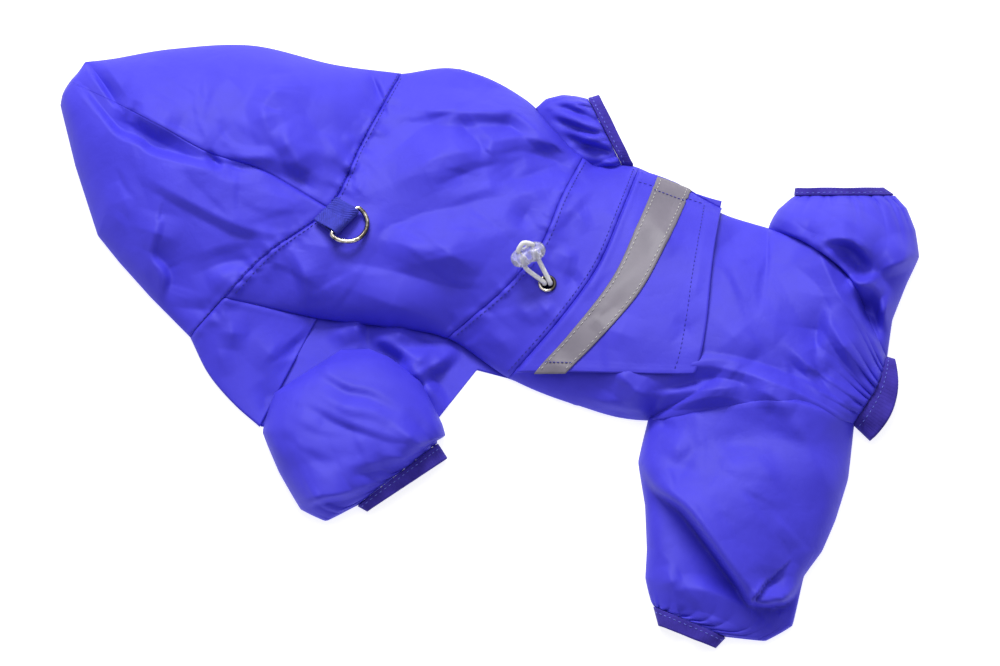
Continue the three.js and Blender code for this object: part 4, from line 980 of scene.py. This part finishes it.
def make_webbing_loop():
    """One strip of webbing: out along the bottom, round the ring's bar and back on top."""
    origin, x_axis, y_axis, z_axis = loop_frame()
    to_place = placed(origin, y_axis, z_axis, x_axis)
    inner = RING_WIRE / 2 + 0.5
    middle = inner + WEBBING / 2
    path = [(0, -0.75), (3, -0.75), (7, -1.2), (LOOP_LENGTH - 2, -middle + 0.1)]
    path += [(LOOP_LENGTH + middle * math.sin(t), -middle * math.cos(t)) for t in np.linspace(0, math.pi, 9)]
    path += [(LOOP_LENGTH - 2, middle - 0.1), (7, 1.2), (3, 0.75), (0, 0.75)]
    path = np.array(path)
    steps = np.concatenate([[0], np.cumsum(np.hypot(*np.diff(path, axis=0).T))])
    total = steps[-1]

    bm = bmesh.new()
    bm.loops.layers.uv.new("weave")
    bmesh.ops.create_grid(bm, x_segments=80, y_segments=110, size=0.5, calc_uvs=True)
    for vert in bm.verts:
        over, along = vert.co.x + 0.5, (vert.co.y + 0.5) * total
        x, z = np.interp(along, steps, path[:, 0]), np.interp(along, steps, path[:, 1])
        x2, z2 = np.interp(along + 0.1, steps, path[:, 0]), np.interp(along + 0.1, steps, path[:, 1])
        size = math.hypot(x2 - x, z2 - z) or 1
        side = Vector(((z2 - z) / size, -(x2 - x) / size))
        across_mm = (over - 0.5) * WEBBING_WIDTH
        rib = 0.24 * math.sin(2 * math.pi * (along + abs(across_mm)) / 1.9)
        thin = 0.25 * (abs(over - 0.5) * 2) ** 20
        x, z = x + side[0] * (rib - thin), z + side[1] * (rib - thin)
        vert.co = (to_place @ Vector((x, z, across_mm))) * MM
    bmesh.ops.recalc_face_normals(bm, faces=bm.faces)
    return new_object("webbing_loop_twill", bm, twill, WEBBING * 0.8)


def curve_piece(name, points, radius, material, cyclic=False, fine=6):
    data = bpy.data.curves.new(name, "CURVE")
    data.dimensions = "3D"
    data.bevel_depth = radius * MM
    data.bevel_resolution = fine
    data.use_fill_caps = not cyclic
    spline = data.splines.new("POLY")
    spline.points.add(len(points) - 1)
    for knot, point in zip(spline.points, points):
        knot.co = (*(Vector(point) * MM), 1)
    spline.use_cyclic_u = cyclic
    spline.use_smooth = True
    data.materials.append(material)
    piece = bpy.data.objects.new(name, data)
    bpy.context.scene.collection.objects.link(piece)
    return piece


def make_ring():
    half = (RING_INNER_WIDTH + RING_WIRE) / 2
    rise = RING_DEPTH - half
    corner = 1.6
    outline = [(x, 0) for x in np.linspace(-half + corner, half - corner, 20)]
    outline += [(half - corner + corner * math.sin(t), corner - corner * math.cos(t))
                for t in np.linspace(0.2, math.pi / 2, 6)]
    outline += [(half * math.cos(t), rise + half * math.sin(t)) for t in np.linspace(0.02, math.pi - 0.02, 60)]
    outline += [(-half + corner - corner * math.sin(t), corner - corner * math.cos(t))
                for t in np.linspace(math.pi / 2, 0.2, 6)]
    origin, x_axis, y_axis, z_axis = loop_frame()
    bar = origin + y_axis * LOOP_LENGTH
    droop = Matrix.Rotation(-RING_DROOP, 3, x_axis)
    to_place = placed(bar, x_axis, droop @ y_axis, droop @ z_axis)
    points = [to_place @ Vector((x, y, 0)) for x, y in outline]
    return curve_piece("d_ring_wire", points, RING_WIRE / 2, steel_painted_reflections, cyclic=True, fine=8)


EYELET_AT = (28.4, 29.6)
EYELET_HOLE = 3.5
EYELET_FLANGE = 5.6


def body_at(u, v, start):
    s, x = start
    for _ in range(30):
        pu, pv = (float(value[0]) for value in body_plan(np.array([s]), np.array([x])))
        su, sv = (float(value[0]) for value in body_plan(np.array([s + 0.01]), np.array([x])))
        xu, xv = (float(value[0]) for value in body_plan(np.array([s]), np.array([x + 0.01])))
        a, b, c, d = su - pu, xu - pu, sv - pv, xv - pv
        size = a * d - b * c
        s += 0.01 * ((u - pu) * d - (v - pv) * b) / size
        x += 0.01 * ((v - pv) * a - (u - pu) * c) / size
    return s, x


def eyelet_frame():
    s, x = body_at(*EYELET_AT, (3.6, 0.6))

    def place(at_s, at_x):
        one_s, one_x = np.array([at_s]), np.array([at_x])
        return Vector(on_table(*body_plan(one_s, one_x), body_z(one_s, one_x))[0] / MM)
    origin = place(s, x)
    up = (place(s, x + 0.02) - origin).cross(place(s + 0.05, x) - origin).normalized()
    if up.z < 0:
        up.negate()
    x_axis = (Vector((1, 0, 0)) - up * up.x).normalized()
    return origin, x_axis, up.cross(x_axis), up


def toggle_frame():
    centre = eyelet_frame()[0] + Vector((-11.5, 12.5, 15))
    away = Vector((-0.5, 0.35, 0.79)).normalized()
    x_axis = Vector((0.9, 0.4, 0.15)).normalized()
    away = (away - x_axis * x_axis.dot(away)).normalized()
    return centre, x_axis, away.cross(x_axis), away


def make_eyelet():
    low = 0.6
    middle = (EYELET_HOLE + EYELET_FLANGE) / 2
    roll = (EYELET_FLANGE - EYELET_HOLE) / 2
    bm = bmesh.new()
    rim = [bm.verts.new((middle + roll * math.cos(t), 0, low + 0.3 + 1.1 * math.sin(t)))
           for t in np.linspace(-0.4, math.pi, 12)]
    rim += [bm.verts.new((EYELET_HOLE, 0, -1.6))]
    edges = [bm.edges.new(pair) for pair in zip(rim, rim[1:])]
    bmesh.ops.spin(bm, geom=rim + edges, cent=(0, 0, 0), axis=(0, 0, 1), dvec=(0, 0, 0),
                   angle=2 * math.pi, steps=48, use_merge=True, use_duplicate=False)
    bmesh.ops.remove_doubles(bm, verts=bm.verts, dist=0.001)
    bmesh.ops.recalc_face_normals(bm, faces=bm.faces)
    bm.transform(Matrix.Scale(MM, 4) @ placed(*eyelet_frame()))
    return new_object("eyelet_rolled", bm, steel_painted_reflections, 0.35, -1)


TOGGLE_LENGTH = 22
TOGGLE_WIDTH = 12
TOGGLE_HEIGHT = 9
HOLE_SPACING = 9


def make_toggle():
    """Two round lobes with a waist between them, and a hole through each."""
    lobe = TOGGLE_WIDTH / 2
    reach = TOGGLE_LENGTH / 2 - lobe
    bm = bmesh.new()
    bmesh.ops.create_uvsphere(bm, u_segments=64, v_segments=32, radius=1)
    for vert in bm.verts:
        x, y, z = vert.co
        flat = math.hypot(x, y)
        turn = math.atan2(y, x)
        out = math.hypot(math.cos(turn) * (reach + lobe), math.sin(turn) * lobe * (1 - 0.2 * math.sin(turn) ** 8))
        round_side = math.copysign(abs(z) ** 0.75, z)
        vert.co = (math.cos(turn) * out * flat ** 0.6, math.sin(turn) * out * flat ** 0.6,
                   round_side * TOGGLE_HEIGHT / 2)
    bm.transform(Matrix.Scale(MM, 4) @ placed(*toggle_frame()))
    bmesh.ops.recalc_face_normals(bm, faces=bm.faces)
    piece = new_object("toggle_moulded", bm, clear_plastic)
    for side in (-1, 1):
        drill_bm = bmesh.new()
        bmesh.ops.create_cone(drill_bm, cap_ends=True, segments=32, radius1=2.0, radius2=2.0, depth=30)
        drill_bm.transform(Matrix.Scale(MM, 4) @ placed(*toggle_frame())
                           @ Matrix.Translation((side * HOLE_SPACING / 2, 0, 0)))
        drill_mesh = bpy.data.meshes.new("drill")
        drill_bm.to_mesh(drill_mesh)
        drill_bm.free()
        drill = bpy.data.objects.new("drill", drill_mesh)
        bpy.context.scene.collection.objects.link(drill)
        cut = piece.modifiers.new("hole", "BOOLEAN")
        cut.object = drill
        cut.operation = "DIFFERENCE"
        cut.solver = "EXACT"
        bpy.context.view_layer.update()
        bored = bpy.data.meshes.new_from_object(piece.evaluated_get(bpy.context.evaluated_depsgraph_get()))
        piece.modifiers.clear()
        piece.data = bored
        bpy.data.objects.remove(drill)
    return piece


def cord_route():
    origin, ex, ey, ez = eyelet_frame()
    centre, tx, ty, tz = toggle_frame()

    def strand(sign):
        in_eyelet = [origin + ex * sign * side + ez * up for side, up in ((1.7, 0.4), (1.75, 3))]
        in_toggle = [centre + tx * sign * HOLE_SPACING / 2 + tz * up for up in (-8.5, -4, 0, 4, 5.5)]
        return in_eyelet + in_toggle
    knots = strand(-1) + [centre + tz * 9] + strand(1)[::-1]
    gaps = [math.sqrt((b - a).length) for a, b in zip(knots, knots[1:])]
    line = []
    for i in range(len(knots) - 1):
        b, c = knots[i], knots[i + 1]
        a = knots[i - 1] if i else b * 2 - c
        d = knots[i + 2] if i + 2 < len(knots) else c * 2 - b
        before = gaps[i - 1] if i else gaps[i]
        after = gaps[i + 1] if i + 1 < len(gaps) else gaps[i]
        m1 = ((b - a) / before - (c - a) / (before + gaps[i]) + (c - b) / gaps[i]) * gaps[i]
        m2 = ((c - b) / gaps[i] - (d - b) / (gaps[i] + after) + (d - c) / after) * gaps[i]
        for t in np.linspace(0, 1, 12, endpoint=False):
            line.append(b * (2 * t ** 3 - 3 * t ** 2 + 1) + m1 * (t ** 3 - 2 * t ** 2 + t)
                        + c * (3 * t ** 2 - 2 * t ** 3) + m2 * (t ** 3 - t ** 2))
    return line + [knots[-1]]


def make_drawcord():
    """A braided tube along the route: strands cross over each other both ways round it."""
    route = cord_route()
    steps = np.concatenate([[0], np.cumsum([(b - a).length for a, b in zip(route, route[1:])])])
    total = float(steps[-1])
    places = np.array([p[:] for p in route])
    around, along = 24, int(total / 0.3)
    bm = bmesh.new()
    bm.loops.layers.uv.new("weave")
    bmesh.ops.create_grid(bm, x_segments=around, y_segments=along, size=0.5, calc_uvs=True)
    rings = {}
    up = Vector((0, 0, 1))
    for row in range(along + 1):
        at = total * row / along
        here = Vector([np.interp(at, steps, places[:, i]) for i in range(3)])
        ahead = Vector([np.interp(min(at + 0.3, total), steps, places[:, i]) for i in range(3)])
        behind = Vector([np.interp(max(at - 0.3, 0), steps, places[:, i]) for i in range(3)])
        along_dir = (ahead - behind).normalized()
        up = (up - along_dir * up.dot(along_dir)).normalized()
        rings[row] = (here, up.copy(), along_dir.cross(up), at)
    for vert in bm.verts:
        turn = (vert.co.x + 0.5) * 2 * math.pi
        here, first, second, at = rings[round((vert.co.y + 0.5) * along)]
        braid = max(math.sin(6 * turn + at * 3.2), math.sin(6 * turn - at * 3.2))
        radius = CORD_DIAMETER / 2 - 0.14 + 0.14 * braid
        vert.co = (here + first * radius * math.cos(turn) + second * radius * math.sin(turn)) * MM
    bmesh.ops.remove_doubles(bm, verts=bm.verts, dist=0.000001)
    bmesh.ops.recalc_face_normals(bm, faces=bm.faces)
    return new_object("drawcord_braid", bm, white_braid), [p * MM for p in route], total * MM


# Stitches: small rounded lengths of thread along a row


def stitch_row(bm, points, length, gap, thick):
    """points is a row of places in metres, each with the direction that stands on the cloth."""
    places = np.array([p for p, _ in points])
    steps = np.concatenate([[0], np.cumsum(np.linalg.norm(np.diff(places, axis=0), axis=1))])
    at = gap * MM
    while at + length * MM < steps[-1]:
        a = Vector([np.interp(at, steps, places[:, i]) for i in range(3)])
        b = Vector([np.interp(at + length * MM, steps, places[:, i]) for i in range(3)])
        along = (b - a).normalized()
        up = points[min(int(np.searchsorted(steps, at)), len(points) - 1)][1]
        side = up.cross(along).normalized()
        turn = Matrix((along, side, along.cross(side))).transposed().to_4x4()
        size = Matrix.Diagonal((length * MM / 2, thick * MM / 2, thick * MM / 2, 1))
        bmesh.ops.create_icosphere(bm, subdivisions=1, radius=1.0,
                                   matrix=Matrix.Translation((a + b) / 2) @ turn @ size)
        at += (length + gap) * MM


def row_on(place, path, lift):
    """Places along a path of (along, over) pairs on a cloth, and the way up from it."""
    path = np.array(path, dtype=float)
    s, x = path[:, 0], path[:, 1]
    p = on_table(*place(s, x))
    step = 0.004
    du = on_table(*place(s + step, x)) - on_table(*place(s - step, x))
    dx = on_table(*place(s, x + step)) - on_table(*place(s, x - step))
    up = np.cross(du, dx)
    up /= np.maximum(np.linalg.norm(up, axis=1)[:, None], 1e-12)
    up[up[:, 2] < 0] *= -1
    return [(Vector(a + b * lift * MM), Vector(b)) for a, b in zip(p, up)]


def stitches(name, rows, material, body, length=2.3, gap=0.9, thick=0.6):
    bm = bmesh.new()
    for row in rows:
        stitch_row(bm, row, length, gap, thick)
    piece = new_object(name, bm, material)
    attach(piece, body)
    return piece


def dress(piece, node, body="garment"):
    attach(piece, body)
    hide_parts(node)
    return piece


# The cord first, then the cloth

drawcord, cord_path, cord_length = make_drawcord()
dress(drawcord, "drawcord")
toggle = dress(make_toggle(), "toggle")
eyelet = dress(make_eyelet(), "eyelet")
webbing_loop = dress(make_webbing_loop(), "webbing_loop")
ring = dress(make_ring(), "d_ring", "ring")


def between(first, last, place):
    return lambda b, a: place(mix(first, last, b), a)


def panel(name, node, place, width, length, flat, slot="nylon", material=None, held="laid", **more):
    """width and length are the grid's size as it lies; flat is the cut, across and along, and is not used."""
    columns, rows = round(width / STEP), round(length / STEP)
    piece = cloth_piece(name, place, columns, rows, material or nylon, **more)
    dress(piece, node)
    return piece


eyelet_hole = (eyelet_frame()[0] * MM, 4.3 * MM)
panel("back_panel_nylon", "back_panel", between(NECK, FRONT_WAIST, body_with_allowance), 230, 150, (215, 140))
panel("waist_casing_nylon", "waist_casing", between(FRONT_WAIST, REAR_WAIST, body_with_allowance), 190, 46,
      (175, 44), hole=eyelet_hole)
panel("rump_panel_nylon", "rump_panel", between(REAR_WAIST, TAIL, body_with_allowance), 190, 190, (165, 185))
panel("hood_panel_far_nylon", "hood_panel_far", between(0, 5, hood_cloth(True)), 150, 190, (125, 185))
panel("hood_panel_near_nylon", "hood_panel_near", between(0, 5, hood_cloth(False)), 175, 190, (125, 175))
panel("chest_panel_nylon", "chest_panel", between(0, 3, chest_cloth), 62, 74, (58, 66))
panel("belly_panel_nylon", "belly_panel", between(0, 9, belly_cloth), 150, 330, (180, 345))
panel("front_leg_near_nylon", "front_leg_near",
      leg_cloth(FRONT_LEG_NEAR, FRONT_NEAR_TOP, 17, 41, gather_length=10), 230, 110,
      (190, 112), held="gathered", wrap=True)
panel("front_leg_far_nylon", "front_leg_far", leg_cloth(FRONT_LEG_FAR, FRONT_FAR_TOP, 13, 42, gather_length=9),
      130, 34, (100, 32), held="gathered", wrap=True)
panel("rear_leg_near_nylon", "rear_leg_near",
      between(-0.01, 1, leg_cloth(REAR_LEG_NEAR, LEG_TOP_CREASES, 17, 43, 1, gather_length=10)), 260, 130,
      (245, 150), held="gathered", wrap=True)
panel("rear_leg_far_nylon", "rear_leg_far",
      between(-0.012, 1, leg_cloth(REAR_LEG_FAR, LEG_TOP_CREASES, 19, 44, 0, gather_length=8)), 190, 90,
      (165, 75), held="gathered", wrap=True)
panel("back_flap_nylon", "back_flap", flap_cloth, 160, 80, (150, 68))
panel("reflective_tape_grey", "reflective_tape", tape_cloth, 150, 20, (142, 20), slot="tape",
      material=tape_cloth_grey, thickness=0.4)

for cuff_name, (around, depth, ribs) in {
        "front_cuff_near": (130, 10, 62), "front_cuff_far": (78, 10, 44), "rear_cuff_near": (104, 12, 50),
        "rear_cuff_far": (110, 10, 62), "tail_band": (110, 14, 56)}.items():
    knitted = cloth_piece(cuff_name + "_rib", cuff_knit(CUFFS[cuff_name], ribs), ribs * 5, 10, knit,
                          wrap=True, thickness=KNIT)
    dress(knitted, cuff_name)

# Sewing

ALONG = np.linspace(0.015, 0.985, 160)


def body_row(s):
    return row_on(body_cloth, [(s, x) for x in ALONG], 0.5)


def row_over(place, path):
    return row_on(place, path, 0.5)


hood_far, hood_near = hood_cloth(True), hood_cloth(False)
stitches("neck_stitches", [
    row_over(hood_far, [(0.035, w) for w in np.linspace(0.02, 0.76, 90)]),
    row_over(hood_near, [(0.035, w) for w in np.linspace(0.02, 0.76, 110)]),
    body_row(0.06)], blue_thread, "garment")
stitches("waist_stitches", [body_row(FRONT_WAIST + 0.065), body_row(REAR_WAIST - 0.065)],
         blue_thread, "garment")
stitches("flap_stitches", [
    row_over(flap_cloth, [(1 - 10 / mix(44, 88, b), b) for b in np.linspace(0.065, 0.99, 120)]),
    row_over(flap_cloth, [(a, 0.065) for a in np.linspace(0.02, 0.8, 50)])], blue_thread, "garment")
stitches("tape_stitches", [
    row_over(tape_cloth, [(a, b) for b in np.linspace(0.01, 0.99, 140)]) for a in (0.12, 0.88)],
    white_thread, "garment", length=2.6, gap=1.0, thick=0.42)
stitches("tape_cross_stitches", [
    row_over(tape_cloth, [(a, b) for a in np.linspace(0.02, 0.98, 20)]) for b in (0.075, 0.95)],
    blue_thread, "garment", length=2.0, gap=0.5)
cuff_rows = [row_on(cuff_knit(table, 0), [(0.28, a) for a in np.linspace(0.03, 0.59, 80)], 1.0)
             for table in CUFFS.values()]
stitches("cuff_stitches", cuff_rows, pale_blue_thread, "garment", length=2.2, gap=1.3, thick=0.5)

# Light and floor


def area_light(name, place, aim, size, power):
    data = bpy.data.lights.new(name, "AREA")
    data.shape = "RECTANGLE"
    data.size, data.size_y = size
    data.energy = power
    lamp = bpy.data.objects.new(name, data)
    lamp.location = place
    lamp.rotation_mode = "QUATERNION"
    lamp.rotation_quaternion = (Vector(aim) - Vector(place)).to_track_quat("-Z", "Y")
    bpy.context.scene.collection.objects.link(lamp)


area_light("window", (-0.3, 1.6, 1.6), (0, 0, 0), (1.2, 0.6), 50)
area_light("ceiling", (0.1, 0.3, 2.2), (0, 0, 0), (1.6, 1.6), 12)

world = bpy.data.worlds.new("room")
bpy.context.scene.world = world
world.use_nodes = True
world.node_tree.nodes["Background"].inputs["Color"].default_value = (1, 1, 1, 1)
world.node_tree.nodes["Background"].inputs["Strength"].default_value = 0.42

floor_bm = bmesh.new()
bmesh.ops.create_grid(floor_bm, x_segments=1, y_segments=1, size=15)
floor_material = bpy.data.materials.new("pale table")
floor_material.use_nodes = True
floor_shader = floor_material.node_tree.nodes["Principled BSDF"]
floor_shader.inputs["Base Color"].default_value = (0.55, 0.55, 0.55, 1)
floor_shader.inputs["Roughness"].default_value = 0.9
floor_shader.inputs["Specular IOR Level"].default_value = 0.0
floor_shader.inputs["Emission Color"].default_value = (1, 1, 1, 1)
floor_shader.inputs["Emission Strength"].default_value = 0.8
floor = new_object("table_top", floor_bm, floor_material)

bpy.context.scene.view_settings.view_transform = "Standard"
